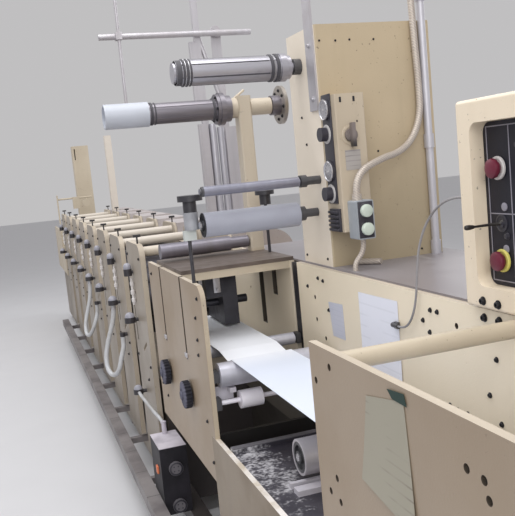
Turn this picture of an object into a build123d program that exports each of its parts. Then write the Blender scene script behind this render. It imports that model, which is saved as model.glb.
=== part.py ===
from build123d import *
import math
import os

# Narrow-web flexographic printing press. Millimetres, X across the press from the
# operator's side (-X) to the gear side (+X), Y along it from the delivery end (-Y) to the
# unwind (+Y), Z up from the floor. The origin is on the floor under the middle of its box.

# Overall sizes
press_length = 9000.0
frame_gap = 414.0            # clear width between the two rows of side plates
side_plate = 16.0            # thickness of a side plate
operator_reach = 140.0       # from the operator plates out to the end of the lower mandrel's core
gear_house_width = 474.0     # from the gear plates out to the back of the gear housing
plate_top = 1235.0           # height of the side plates in the die and delivery sections
bed_top = 735.0              # height of the bed's side rails
foot_height = 70.0
overhead_top = 2600.0

# Lengths of the sections along Y, counted from the delivery end
delivery_plate_length = 1113.0
open_bay_length = 898.0
die_plate_length = 884.0
station_gap = 203.0
station_count = 8
station_pitch = 600.0
station_plate_length = 380.0

# Derived planes
press_width = operator_reach + 2 * side_plate + frame_gap + gear_house_width
x_left = -press_width / 2
x_op_out = x_left + operator_reach
x_op_in = x_op_out + side_plate
x_gear_in = x_op_in + frame_gap
x_gear_out = x_gear_in + side_plate
x_right = press_width / 2
x_web = (x_op_in + x_gear_in) / 2
y_near = -press_length / 2
y_far = press_length / 2
y_delivery = y_near + delivery_plate_length
y_die_near = y_delivery + open_bay_length
y_die_far = y_die_near + die_plate_length
y_station = y_die_far + station_gap
y_station_end = y_station + (station_count - 1) * station_pitch + station_plate_length

# Bed
bed_end_overlap = 45.0       # how far the near bed runs on under the die plates
pan_drop = 6.0
pan_sheet = 5.0
pan_lip_width = 25.0
pan_lip_height = 16.0
pit_length = 145.0
pit_bottom = 450.0
bay_top = 575.0              # lower edge of the die plates over the open bay
station_bed_top = 640.0
plinth_recess = 30.0
sill_height = 80.0
sill_width = 70.0
foot_pad_radius = 40.0
foot_pad_height = 14.0
foot_stem_radius = 12.0
foot_inset = 60.0

# Fits
running_clearance = 0.05     # shaft in its bearing, on the radius
seat_clearance = 0.3         # parts of different bodies that lie against each other
bearing_width = 18.0
bearing_half = 19.0

# Web and the rollers that carry it
web_width = 210.0
web_thickness = 1.0
web_top = 978.0
web_edge = x_op_in + 72.0
web_dip = 15.0               # how far the sheet sinks between the die section and its roller
web_roller_radius = 40.0
web_roller_y = y_die_near + 19.0
web_start_y = y_die_far - 60.0
web_roller_end_gap = 20.0
delivery_roller_radius = 30.0
delivery_roller_y = y_near + 250.0
journal_radius = 9.0
nip_wheel_radius = 30.0
nip_wheel_width = 75.0
nip_wheel_z = 845.0
nip_shaft_radius = 8.0
drum_radius = 50.0
drum_length = 277.0
drum_shell = 7.0
drum_y = y_die_near - 436.0
drum_z = 800.0
slat_height = 15.0

# Die section
die_slot_width = 20.0
die_slot_bottom = 940.0
die_knob_radius = 50.0
die_knob_thickness = 34.0
die_knob_z = 812.0
die_roller_radius = 22.0
beam_width = 40.0
beam_height = 28.0
bridge_thickness = 14.0
bridge_length = 445.0
slide_bar_width = 56.0

# Rewind mandrels
mandrel_radius = 41.0
mandrel_shaft_radius = 15.0
core_radius = 48.0
core_length = 172.0
groove_count = 6
groove_radius = 2.5
upper_mandrel_length = 335.0
upper_mandrel_y = y_die_near + 114.0
upper_mandrel_z = 1910.0
lower_mandrel_y = y_die_far - 195.0
lower_mandrel_z = 1833.0
flange_end = x_gear_in - 64.0
hub_radius = 26.0
brake_hub_radius = 40.0
brake_hub_length = 38.0
brake_disc_radius = 78.0
brake_disc_thickness = 14.0
post_width = 58.0
post_depth = 60.0
post_head = 46.0
tube_radius = 34.0
tube_length = 88.0

# Rollers in front of the cabinet and on the bridge plate
white_roller_radius = 40.0
white_roller_length = 326.0
white_roller_y = y_die_near + 64.0
white_roller_z = 1422.0
idler_radius = 16.0
idler_length = 325.0
idler_y = y_die_near + 24.0
idler_z = 1530.0
plain_roller_radius = 30.0
plain_roller_z = 1290.0
plain_roller_length = 292.0
plain_shaft_radius = 24.0

# Cabinet and console
deck_thickness = 6.0
cabinet_x = x_gear_out + 4.0
cabinet_width = 415.0
cabinet_depth = 250.0
cabinet_y = y_die_near - 31.0
cabinet_top = 2020.0
device_box_width = 100.0
device_box_depth = 110.0
device_box_bottom = 1362.0
device_box_top = 1790.0
disconnect_z = 1662.0
gauge_radius = 33.0
pilot_box_width = 58.0
pilot_box_depth = 62.0
pilot_box_bottom = 1340.0
pilot_box_top = 1460.0
flat_bar_width = 62.0
flat_bar_thickness = 6.0
flat_bar_bottom = 1753.0
conduit_top = 2230.0
console_far = y_delivery + 53.0
console_length = 570.0
console_depth = 240.0
console_height = 452.0
console_recess_margin = 50.0
console_recess_depth = 34.0
console_proud = 20.0         # how far the console's face stands inside the gear plates
console_corner = 10.0

# Operating elements
stop_button_radius = 21.0
stop_button_height = 12.0
stop_button_travel = 6.0
stop_stem_radius = 9.0
stop_collar_radius = 24.5
upper_button_z = 1544.0
lower_button_z = 1347.0
lever_z = 1427.0
lever_radius = 5.0
lever_length = 84.0
lever_pin_radius = 4.0
handle_radius = 20.0
handle_width = 12.0
handle_length = 74.0
knob_radius = 20.0
knob_reach = 25.0            # from a station plate out to the axis of its hand knob
knob_z = 1128.0
dome_radius = 24.0
dome_reach = 40.0            # from a station plate out to the axis of its hose dome
dome_z = 900.0

# Stations
station_plate = 25.0
station_plate_top = 1290.0
station_plate_bottom = 220.0
station_tie_radius = 23.0
station_house_width = 330.0
station_house_top = 1180.0
tee_handle_height = 42.0
cylinder_radius = 75.0
anilox_radius = 50.0
knob_offset = 248.0          # from a station plate's near edge to its hand knob
unwind_plate_top = 1100.0

os.makedirs("parts", exist_ok=True)


def block(x0, x1, y0, y1, z0, z1, mode=Mode.ADD):
    """A rectangular block between its six planes."""
    with BuildSketch(Plane.XY.offset(z0)) as outline:
        with Locations(((x0 + x1) / 2, (y0 + y1) / 2)):
            Rectangle(x1 - x0, y1 - y0)
    extrude(outline.sketch, amount=z1 - z0, mode=mode)


def rod_x(x0, x1, y, z, radius, mode=Mode.ADD):
    """A round bar along X."""
    with BuildSketch(Plane.YZ.offset(x0)) as outline:
        with Locations((y, z)):
            Circle(radius)
    extrude(outline.sketch, amount=x1 - x0, mode=mode)


def rod_y(y0, y1, x, z, radius, mode=Mode.ADD):
    """A round bar along Y."""
    with BuildSketch(Plane.XZ.offset(-y0)) as outline:
        with Locations((x, z)):
            Circle(radius)
    extrude(outline.sketch, amount=-(y1 - y0), mode=mode)


def rod_z(z0, z1, x, y, radius, mode=Mode.ADD):
    """A round bar standing up."""
    with BuildSketch(Plane.XY.offset(z0)) as outline:
        with Locations((x, y)):
            Circle(radius)
    extrude(outline.sketch, amount=z1 - z0, mode=mode)


def bar_between(start, end, radius):
    """A round bar from one point to another."""
    along = Vector(*end) - Vector(*start)
    with BuildSketch(Plane(origin=start, z_dir=along)) as outline:
        Circle(radius)
    extrude(outline.sketch, amount=along.length)


def tube(points, radius, name):
    """A hose or lead through its points, straight runs joined by tangent arcs."""
    corners = [Vector(*point) for point in points]
    radii = []
    for before, here, after in zip(corners, corners[1:], corners[2:]):
        run_in = here - before
        run_out = after - here
        half_turn = math.radians(run_in.get_angle(run_out)) / 2
        radii.append(0.45 * min(run_in.length, run_out.length) / math.tan(half_turn))
    with BuildLine() as route:
        FilletPolyline(*points, radius=radii)
    with BuildSketch(Plane(origin=route.line @ 0, z_dir=route.line % 0)) as section:
        Circle(radius)
    swept = sweep(section.sketch, path=route.line)
    expected = math.pi * radius**2 * sum(edge.length for edge in route.edges())
    print(f"{name}: radii {[round(r) for r in radii]}, volume ratio {swept.volume / expected:.4f}")


def bearing(x0, x1, y, z, bore, half_height):
    """A square bearing block on a side plate, bored for a journal along X."""
    block(x0, x1, y - half_height, y + half_height, z - half_height, z + half_height)
    rod_x(x0, x1, y, z, bore, mode=Mode.SUBTRACT)


def write(node, name):
    """Label a finished piece and write it to its own file."""
    node.part.label = name
    export_step(node.part, f"parts/{name}.step")


# Bed under the delivery: a closed welded base, with a shallow trough and a deep pit at its end
base_near_far_end = y_die_near + bed_end_overlap
pit_far = base_near_far_end - side_plate
pit_near = pit_far - pit_length
trough_floor = bed_top - pan_drop - pan_sheet
pan_top = bed_top - pan_drop
with BuildPart() as base_near:
    block(x_op_out, x_gear_out, y_near, base_near_far_end, foot_height, bed_top)
    block(x_op_in, x_gear_in, y_near + side_plate, pit_near, trough_floor, bed_top, mode=Mode.SUBTRACT)
    block(x_op_in, x_gear_in, pit_near, pit_far, pit_bottom, bed_top, mode=Mode.SUBTRACT)
write(base_near, "base_near")

# Drip pan lying in the trough, with a raised lip along the pit
with BuildPart() as drip_pan:
    pan_gap = 1.0
    block(x_op_in + pan_gap, x_gear_in - pan_gap, y_near + side_plate + pan_gap, pit_near, trough_floor, pan_top)
    block(x_op_in + pan_gap, x_gear_in - pan_gap, pit_near - pan_lip_width, pit_near, pan_top,
          pan_top + pan_lip_height)
write(drip_pan, "drip_pan")

# Bed under the print stations and the unwind, and two low sills across the open bay
base_far_start = y_station - 20
with BuildPart() as base_far:
    block(x_op_in + plinth_recess, x_gear_out, base_far_start, y_far, foot_height, station_bed_top)
    for x in (x_op_in + plinth_recess, x_gear_out - sill_width):
        block(x, x + sill_width, base_near_far_end, base_far_start, foot_height, foot_height + sill_height)
write(base_far, "base_far")

# Levelling feet
with BuildPart() as levelling_feet:
    near_ys = [y_near + foot_inset, (y_near + base_near_far_end) / 2, base_near_far_end - foot_inset]
    far_run = y_far - base_far_start - 2 * foot_inset
    far_ys = [base_far_start + foot_inset + far_run * i / 4 for i in range(5)]
    for y in near_ys + far_ys:
        outer_side = x_right if y < y_die_far else x_gear_out + station_house_width
        foot_xs = [x_op_in + plinth_recess + foot_inset, x_gear_out - foot_inset]
        if y < y_station_end:
            foot_xs.append(outer_side - foot_inset)
        for x in foot_xs:
            rod_z(0, foot_pad_height, x, y, foot_pad_radius)
            rod_z(0, foot_height, x, y, foot_stem_radius)
write(levelling_feet, "levelling_feet")

# Side plate of the delivery section on the operator's side, drilled along its edges
plate_hole_radius = 7.0
operator_holes = [(y_delivery - 97, plate_top - 33), (y_delivery - 24, plate_top - 76),
                  (y_delivery - 90, plate_top - 259), (y_delivery - 53, plate_top - 299),
                  (y_delivery - 99, plate_top - 305), (y_near + 564, plate_top - 72),
                  (y_near + 524, plate_top - 74), (y_near + 515, plate_top - 99)]
with BuildPart() as delivery_plate_operator:
    with BuildSketch(Plane.YZ.offset(x_op_out)):
        with Locations(((y_near + y_delivery) / 2, (bed_top + plate_top) / 2)):
            Rectangle(delivery_plate_length, plate_top - bed_top)
        with Locations(*operator_holes):
            Circle(plate_hole_radius, mode=Mode.SUBTRACT)
    extrude(amount=side_plate)
write(delivery_plate_operator, "delivery_plate_operator")

# Side plate on the gear side, in one length from the delivery end to the cabinet
gear_holes = [(y_die_near + 104, plate_top - 109), (y_die_near + 103, plate_top - 187),
              (y_die_near + 140, plate_top - 273), (y_die_near + 37, plate_top - 243),
              (y_die_near + 28, plate_top - 339), (y_die_near + 158, plate_top - 416),
              (y_delivery + 60, plate_top - 60), (y_delivery + 130, plate_top - 60),
              (y_delivery + 132, plate_top - 415), (y_delivery + 58, plate_top - 416),
              (y_delivery + 43, plate_top - 461)]
gear_plate_far = y_die_near + 254.0
with BuildPart() as delivery_plate_gear:
    with BuildSketch(Plane.YZ.offset(x_gear_in)):
        with Locations(((y_near + gear_plate_far) / 2, (bed_top + plate_top) / 2)):
            Rectangle(gear_plate_far - y_near, plate_top - bed_top)
        with Locations(*gear_holes):
            Circle(plate_hole_radius, mode=Mode.SUBTRACT)
    extrude(amount=side_plate)
write(delivery_plate_gear, "delivery_plate_gear")

# Round ties across the delivery plates, the stations and the unwind
delivery_tie_radius = 19.0
unwind_y = y_station_end + 130
with BuildPart() as round_ties:
    rod_x(x_op_in, x_gear_in, y_delivery - 118, plate_top - 20, delivery_tie_radius)
    for number in range(station_count):
        y0 = y_station + number * station_pitch
        rod_x(x_op_out + station_plate, x_gear_in, y0 + 95, station_plate_top - 40, station_tie_radius)
    for y in (unwind_y + 60, y_far - 90):
        rod_x(x_op_in, x_gear_in, y, unwind_plate_top - 50, station_tie_radius)
write(round_ties, "round_ties")

# Side plates of the die section, the operator's with two open slots for the die rollers
die_slots = (y_die_far - 235.0, y_die_far - 590.0)
corner_round = 50.0
with BuildPart() as die_plate_operator:
    with BuildSketch(Plane.YZ.offset(x_op_out)) as outline:
        with BuildLine():
            Polyline(
                (y_die_near, bed_top),
                (y_die_near, plate_top),
                (y_die_far, plate_top),
                (y_die_far, bay_top),
                (base_near_far_end + seat_clearance, bay_top),
                (base_near_far_end + seat_clearance, bed_top),
                close=True,
            )
        make_face()
        fillet(outline.vertices().group_by(Axis.Y)[-1].sort_by(Axis.X)[0], corner_round)
        for slot_y in die_slots:
            with Locations((slot_y, (die_slot_bottom + plate_top + 1) / 2)):
                Rectangle(die_slot_width, plate_top + 1 - die_slot_bottom, mode=Mode.SUBTRACT)
    extrude(amount=side_plate)
    for slot_y in die_slots:
        rod_x(x_op_out, x_op_in, slot_y, die_knob_z, journal_radius + running_clearance, mode=Mode.SUBTRACT)
write(die_plate_operator, "die_plate_operator")

# Gear-side die plate with two closed windows
die_gear_near = gear_plate_far + 65.0
die_roller_z = die_slot_bottom + journal_radius + running_clearance
with BuildPart() as die_plate_gear:
    block(x_gear_in, x_gear_out, die_gear_near, base_far_start, bay_top, plate_top)
    block(x_gear_in, x_gear_out, y_die_far - 395, y_die_far - 346, plate_top - 153, plate_top - 26,
          mode=Mode.SUBTRACT)
    block(x_gear_in, x_gear_out, y_die_far - 234, y_die_far - 180, plate_top - 294, plate_top - 35,
          mode=Mode.SUBTRACT)
    rod_x(x_gear_in, x_gear_out, y_die_far - 47, plate_top - 165, plate_hole_radius, mode=Mode.SUBTRACT)
write(die_plate_gear, "die_plate_gear")

# Hand knobs on the die section, each on a short shaft through the plate
for number, slot_y in enumerate(die_slots, start=1):
    with BuildPart() as die_knob:
        knob_face = x_op_out - 6
        rod_x(knob_face - die_knob_thickness, knob_face, slot_y, die_knob_z, die_knob_radius)
        fillet(die_knob.edges().filter_by(GeomType.CIRCLE).group_by(Axis.X)[0], 5)
        rod_x(knob_face, x_op_in + 12, slot_y, die_knob_z, journal_radius)
    write(die_knob, f"die_knob_{number}")

# Beam and stained steel plate bridging the die section
beam_near = die_gear_near + 7.0
with BuildPart() as cross_beam:
    block(x_op_in, x_gear_in, beam_near, beam_near + beam_width, plate_top - beam_height, plate_top)
write(cross_beam, "cross_beam")
with BuildPart() as bridge_plate:
    block(x_op_in, x_gear_out, die_gear_near + 5, die_gear_near + 5 + bridge_length, plate_top,
          plate_top + bridge_thickness)
write(bridge_plate, "bridge_plate")

# Pressure blocks hanging from the bridge plate, the roller they press and the slide bars
with BuildPart() as pressure_blocks:
    black_block_x = x_web - 5.0
    block(black_block_x, black_block_x + 60, y_die_far - 345, y_die_far - 95, web_top + 7, plate_top)
    block(black_block_x - 64, black_block_x, y_die_far - 345, y_die_far - 295, plate_top - 135, plate_top)
    block(black_block_x - 94, black_block_x - 76, y_die_far - 345, y_die_far - 325, web_top + 7, plate_top)
    rod_x(black_block_x - 94, black_block_x + 120, y_die_far - 263, plate_top - 167, 16)
    block(x_gear_in + 4, x_gear_out, gear_plate_far + 3, gear_plate_far + 3 + slide_bar_width, die_slot_bottom,
          plate_top - 6)
write(pressure_blocks, "pressure_blocks")

# Die roller below the web, its journals in the second slot and in a bearing on the gear side
with BuildPart() as die_roller:
    rod_x(x_op_in + 12, x_gear_in - 24, die_slots[1], die_roller_z, die_roller_radius)
    rod_x(x_op_out + 2, x_gear_in - 2, die_slots[1], die_roller_z, journal_radius)
write(die_roller, "die_roller")

# Gear housing: closed box along the gear side, with its deck
with BuildPart() as gear_housing:
    block(x_gear_out, x_right, y_near, y_die_far, foot_height, plate_top)
write(gear_housing, "gear_housing")
with BuildPart() as deck_top:
    block(x_gear_out, x_right, y_near, y_die_far, plate_top, plate_top + deck_thickness)
write(deck_top, "deck_top")
deck_z = plate_top + deck_thickness
with BuildPart() as station_housing:
    block(x_gear_out, x_gear_out + station_house_width, y_die_far, y_station_end, foot_height, station_house_top)
write(station_housing, "station_housing")

# Electrical cabinet standing on the deck, bored for the shafts that it carries
cabinet_bore_depth = 60.0
with BuildPart() as control_cabinet:
    block(cabinet_x, cabinet_x + cabinet_width, cabinet_y, cabinet_y + cabinet_depth, deck_z, cabinet_top)
    fillet(control_cabinet.edges().filter_by(Axis.Z), 6)
    for y, z, shaft in ((upper_mandrel_y, upper_mandrel_z, mandrel_shaft_radius),
                        (white_roller_y, white_roller_z, journal_radius), (idler_y, idler_z, journal_radius)):
        rod_x(cabinet_x, cabinet_x + cabinet_bore_depth, y, z, shaft + running_clearance, mode=Mode.SUBTRACT)
write(control_cabinet, "control_cabinet")
shaft_end = cabinet_x + cabinet_bore_depth - 5

# Device box in front of the cabinet, with its switch, gauges and regulator knobs
device_y = cabinet_y - device_box_depth
disconnect_x = cabinet_x + 45.0
with BuildPart() as device_box:
    block(cabinet_x, cabinet_x + device_box_width, device_y, cabinet_y, device_box_bottom, device_box_top)
    fillet(device_box.edges().filter_by(Axis.Z), 4)
    rod_y(device_y, device_y + 30, disconnect_x, disconnect_z, 8 + running_clearance, mode=Mode.SUBTRACT)
write(device_box, "device_box")
with BuildPart() as gauges:
    for z in (device_box_top - 42, device_box_top - 235):
        rod_x(cabinet_x - 12, cabinet_x, device_y + 60, z, gauge_radius)
    for z in (device_box_top - 118, device_box_top - 306):
        rod_x(cabinet_x - 30, cabinet_x, device_y + 66, z, 22)
write(gauges, "gauges")
with BuildPart() as disconnect_handle:
    rod_y(device_y - 12, device_y + 24, disconnect_x, disconnect_z, 8)
    rod_y(device_y - 12, device_y - seat_clearance, disconnect_x, disconnect_z, handle_radius)
    block(disconnect_x - handle_width / 2, disconnect_x + handle_width / 2, device_y - 30, device_y - 12,
          disconnect_z - handle_length / 2, disconnect_z + handle_length / 2)
write(disconnect_handle, "disconnect_handle")

pilot_x = cabinet_x + 16.0
pilot_y = device_y - pilot_box_depth
with BuildPart() as pilot_box:
    block(pilot_x, pilot_x + pilot_box_width, pilot_y, device_y, pilot_box_bottom, pilot_box_top)
    fillet(pilot_box.edges().filter_by(Axis.Y), 6)
    for z in (pilot_box_top - 32, pilot_box_top - 88):
        rod_y(pilot_y - 14, pilot_y, pilot_x + pilot_box_width / 2, z, 19)
write(pilot_box, "pilot_box")

# Flat aluminium bar bolted to the cabinet's narrow side
with BuildPart() as flat_bar:
    block(cabinet_x - flat_bar_thickness, cabinet_x, cabinet_y + 8, cabinet_y + 8 + flat_bar_width,
          flat_bar_bottom, overhead_top)
write(flat_bar, "flat_bar")

# Conduits on the cabinet: one bent from the pilot box upward, a straight one with its
# couplings, a short one from the pilot box down to the deck, and a plug on the deck
conduit_radius = 11.0
pipe_radius = 13.0
coupling_radius = 17.0
pipe_x = cabinet_x + 380.0
pilot_mid_y = (pilot_y + device_y) / 2
bent_points = [
    (95, pilot_mid_y, pilot_box_top), (95, pilot_mid_y, 1497), (104, pilot_mid_y, 1530),
    (129, cabinet_y - 139, 1555),
    (166, cabinet_y - 131, 1569), (215, cabinet_y - 110, 1582), (290, cabinet_y - 70, 1594),
    (352, cabinet_y - 37, 1622), (392, cabinet_y - 21, 1668),
    (411, cabinet_y - 18, 1726), (413, cabinet_y - 16, 1790), (411, cabinet_y - 17, 1860),
    (408, cabinet_y - 16, 1950), (405, cabinet_y - 17, 2050),
    (403, cabinet_y - 16, 2140), (404, cabinet_y - 17, conduit_top),
]
short_points = [(105, pilot_mid_y, pilot_box_bottom), (105, pilot_mid_y, 1316), (98, cabinet_y - 140, 1293),
                (83, cabinet_y - 138, 1276), (74, cabinet_y - 136, 1259), (74, cabinet_y - 136, deck_z)]
with BuildPart() as cabinet_conduits:
    tube(bent_points, conduit_radius, "bent conduit")
    rod_z(deck_z, conduit_top, pipe_x, cabinet_y - pipe_radius, pipe_radius)
    for z in (deck_z, 1600, 2080):
        rod_z(z, z + 46, pipe_x, cabinet_y - pipe_radius, coupling_radius)
    block(cabinet_x, cabinet_x + cabinet_width, cabinet_y, cabinet_y + cabinet_depth, deck_z, cabinet_top,
          mode=Mode.SUBTRACT)
    rod_z(pilot_box_top, pilot_box_top + 20, 95, pilot_mid_y, 15)
with BuildPart() as short_conduit:
    tube(short_points, conduit_radius - 3, "short conduit")
    bar_between((135, cabinet_y - 12, deck_z + 10), (195, cabinet_y - 78, deck_z + 10), 10)
cabinet_conduits.part = Part() + [cabinet_conduits.part, short_conduit.part]
write(cabinet_conduits, "cabinet_conduits")

# Console housing with its recessed panel, two button collars and the lever's boss
console_x = x_gear_in - console_proud
console_near = console_far - console_length
console_top = deck_z + console_height
panel_x = console_x + console_recess_depth
panel_thickness = 3.0
panel_back = panel_x + panel_thickness
button_y = console_far - 101.0
lever_pivot_x = panel_x + 20.0
button_zs = (upper_button_z, lower_button_z)
with BuildPart() as console:
    block(console_x, console_x + console_depth, console_near, console_far, deck_z, console_top)
    fillet(console.edges().filter_by(Axis.X), console_corner)
    fillet(console.faces().sort_by(Axis.X)[0].edges(), 8)
    with BuildSketch(Plane.YZ.offset(console_x)):
        with Locations(((console_near + console_far) / 2, (deck_z + console_top) / 2)):
            RectangleRounded(console_length - 2 * console_recess_margin,
                             console_height - 2 * console_recess_margin, 24)
    extrude(amount=console_recess_depth + panel_thickness, mode=Mode.SUBTRACT)
    for z in button_zs:
        rod_x(panel_back, panel_back + 40, button_y, z, stop_stem_radius + running_clearance, mode=Mode.SUBTRACT)
    rod_x(panel_back, panel_back + 40, button_y, lever_z, lever_radius + 12, mode=Mode.SUBTRACT)
    rod_y(button_y - 26, button_y + 26, lever_pivot_x, lever_z, lever_pin_radius + running_clearance,
          mode=Mode.SUBTRACT)
write(console, "console")
with BuildPart() as console_panel:
    with BuildSketch(Plane.YZ.offset(panel_x)):
        with Locations(((console_near + console_far) / 2, (deck_z + console_top) / 2)):
            RectangleRounded(console_length - 2 * console_recess_margin - 2,
                             console_height - 2 * console_recess_margin - 2, 23)
    extrude(amount=panel_thickness)
    for z in button_zs:
        rod_x(panel_x - 3, panel_x, button_y, z, stop_collar_radius)
        rod_x(panel_x - 3, panel_back, button_y, z, stop_stem_radius + running_clearance, mode=Mode.SUBTRACT)
    rod_x(panel_x, panel_back, button_y, lever_z, lever_radius + 12, mode=Mode.SUBTRACT)
write(console_panel, "console_panel")

for name, z in (("stop_button_upper", upper_button_z), ("stop_button_lower", lower_button_z)):
    with BuildPart() as stop_button:
        button_back = panel_x - 8 - stop_button_travel
        rod_x(button_back - stop_button_height, button_back, button_y, z, stop_button_radius)
        fillet(stop_button.edges().filter_by(GeomType.CIRCLE).group_by(Axis.X)[0], 5)
        rod_x(button_back, panel_x + 34, button_y, z, stop_stem_radius)
    write(stop_button, name)
with BuildPart() as jog_lever:
    rod_x(panel_x - lever_length, panel_x + 34, button_y, lever_z, lever_radius)
    rod_x(panel_x - lever_length - 8, panel_x - lever_length + 12, button_y, lever_z, lever_radius + 4)
    rod_y(button_y - 24, button_y + 24, lever_pivot_x, lever_z, lever_pin_radius)
write(jog_lever, "jog_lever")

# Upper rewind mandrel: a grooved air shaft with rings and collars, carried at one end
upper_carried = x_gear_in - 57.0
upper_free = upper_carried - upper_mandrel_length
with BuildPart() as upper_mandrel:
    rod_x(upper_free, upper_carried, upper_mandrel_y, upper_mandrel_z, mandrel_radius)
    for turn in range(groove_count):
        angle = math.radians(360 / groove_count * (turn + 0.5))
        rod_x(upper_free, upper_carried, upper_mandrel_y + mandrel_radius * math.cos(angle),
              upper_mandrel_z + mandrel_radius * math.sin(angle), groove_radius, mode=Mode.SUBTRACT)
    rod_x(upper_free - 18, upper_free, upper_mandrel_y, upper_mandrel_z, mandrel_radius - 2)
    rod_x(upper_free - 26, upper_free - 18, upper_mandrel_y, upper_mandrel_z, mandrel_radius - 8)
    rod_x(upper_carried, upper_carried + 21, upper_mandrel_y, upper_mandrel_z, mandrel_radius + 5)
    rod_x(upper_carried + 21, upper_carried + 37, upper_mandrel_y, upper_mandrel_z, mandrel_radius - 2)
    rod_x(upper_carried + 37, shaft_end, upper_mandrel_y, upper_mandrel_z, mandrel_shaft_radius)
write(upper_mandrel, "upper_mandrel")

# Hubs on the cabinet round the shafts of the mandrel, the white roller and the idler
white_right = cabinet_x - 74.0
idler_right = cabinet_x - 76.0
with BuildPart() as cabinet_hubs:
    rod_x(cabinet_x - 26, cabinet_x, upper_mandrel_y, upper_mandrel_z, hub_radius)
    rod_x(cabinet_x - 26, cabinet_x, upper_mandrel_y, upper_mandrel_z, mandrel_shaft_radius + running_clearance,
          mode=Mode.SUBTRACT)
    for y, z, right, collar in ((white_roller_y, white_roller_z, white_right, 24),
                                (idler_y, idler_z, idler_right, 20)):
        rod_x(right + 4, right + 26, y, z, collar)
        rod_x(right + 26, cabinet_x, y, z, journal_radius + 5)
        rod_x(right + 4, cabinet_x, y, z, journal_radius + running_clearance, mode=Mode.SUBTRACT)
write(cabinet_hubs, "cabinet_hubs")

# Lower rewind mandrel with a core on its free end and a stepped flange at the post
body_near = flange_end - 61.0
core_end = x_left + core_length
with BuildPart() as lower_mandrel:
    rod_x(core_end, body_near, lower_mandrel_y, lower_mandrel_z, mandrel_radius)
    for turn in range(groove_count):
        angle = math.radians(360 / groove_count * (turn + 0.5))
        rod_x(core_end, body_near, lower_mandrel_y + mandrel_radius * math.cos(angle),
              lower_mandrel_z + mandrel_radius * math.sin(angle), groove_radius, mode=Mode.SUBTRACT)
    rod_x(x_left, core_end, lower_mandrel_y, lower_mandrel_z, core_radius)
    rod_x(x_left, x_left + 20, lower_mandrel_y, lower_mandrel_z, mandrel_radius, mode=Mode.SUBTRACT)
    rod_x(body_near, body_near + 13, lower_mandrel_y, lower_mandrel_z, mandrel_radius + 19)
    rod_x(body_near + 13, body_near + 33, lower_mandrel_y, lower_mandrel_z, mandrel_radius + 24)
    rod_x(body_near + 33, flange_end, lower_mandrel_y, lower_mandrel_z, mandrel_radius + 11)
    post_x = flange_end + 28.0
    tube_end = post_x + post_width + tube_length
    rod_x(flange_end, tube_end + 2, lower_mandrel_y, lower_mandrel_z, mandrel_shaft_radius)
    rod_x(tube_end + 2, tube_end + 2 + brake_hub_length, lower_mandrel_y, lower_mandrel_z, brake_hub_radius)
write(lower_mandrel, "lower_mandrel")
with BuildPart() as brake_disc:
    disc_x = tube_end + 2 + brake_hub_length
    rod_x(disc_x, disc_x + brake_disc_thickness, lower_mandrel_y, lower_mandrel_z, brake_disc_radius)
write(brake_disc, "brake_disc")

# Post on the bridge plate that carries the lower mandrel in a tube, with its locking lever
with BuildPart() as mandrel_post:
    block(post_x, post_x + post_width, lower_mandrel_y - post_depth / 2, lower_mandrel_y + post_depth / 2,
          plate_top + bridge_thickness, lower_mandrel_z + post_head)
    fillet(mandrel_post.edges().filter_by(Axis.Z), 8)
    rod_x(post_x - 25, post_x, lower_mandrel_y, lower_mandrel_z, brake_hub_radius)
    rod_x(post_x + post_width - 1, tube_end, lower_mandrel_y, lower_mandrel_z, tube_radius)
    rod_x(post_x - 25, tube_end, lower_mandrel_y, lower_mandrel_z, mandrel_shaft_radius + running_clearance,
          mode=Mode.SUBTRACT)
    rod_x(post_x, post_x + 40, lower_mandrel_y, plain_roller_z, journal_radius + running_clearance,
          mode=Mode.SUBTRACT)
    bar_between((post_x - 14, lower_mandrel_y, lower_mandrel_z + 32),
                (post_x + 40, lower_mandrel_y, lower_mandrel_z + 70), 5)
write(mandrel_post, "mandrel_post")

# Idlers carried by the cabinet
with BuildPart() as white_roller:
    rod_x(white_right - white_roller_length, white_right, white_roller_y, white_roller_z, white_roller_radius)
    rod_x(white_right - white_roller_length - 14, shaft_end, white_roller_y, white_roller_z, journal_radius)
write(white_roller, "white_roller")
with BuildPart() as grey_idler:
    rod_x(idler_right - idler_length, idler_right, idler_y, idler_z, idler_radius)
    rod_x(idler_right - idler_length - 12, shaft_end, idler_y, idler_z, journal_radius)
write(grey_idler, "grey_idler")

# Plain steel roller over the bridge plate, carried by the mandrel's post
with BuildPart() as plain_roller:
    plain_end = x_op_in + 3 + plain_roller_length
    rod_x(plain_end - plain_roller_length, plain_end, lower_mandrel_y, plain_roller_z, plain_roller_radius)
    rod_x(plain_end, post_x - 5, lower_mandrel_y, plain_roller_z, plain_shaft_radius)
    rod_x(post_x - 5, post_x + 36, lower_mandrel_y, plain_roller_z, journal_radius)
write(plain_roller, "plain_roller")

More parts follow.
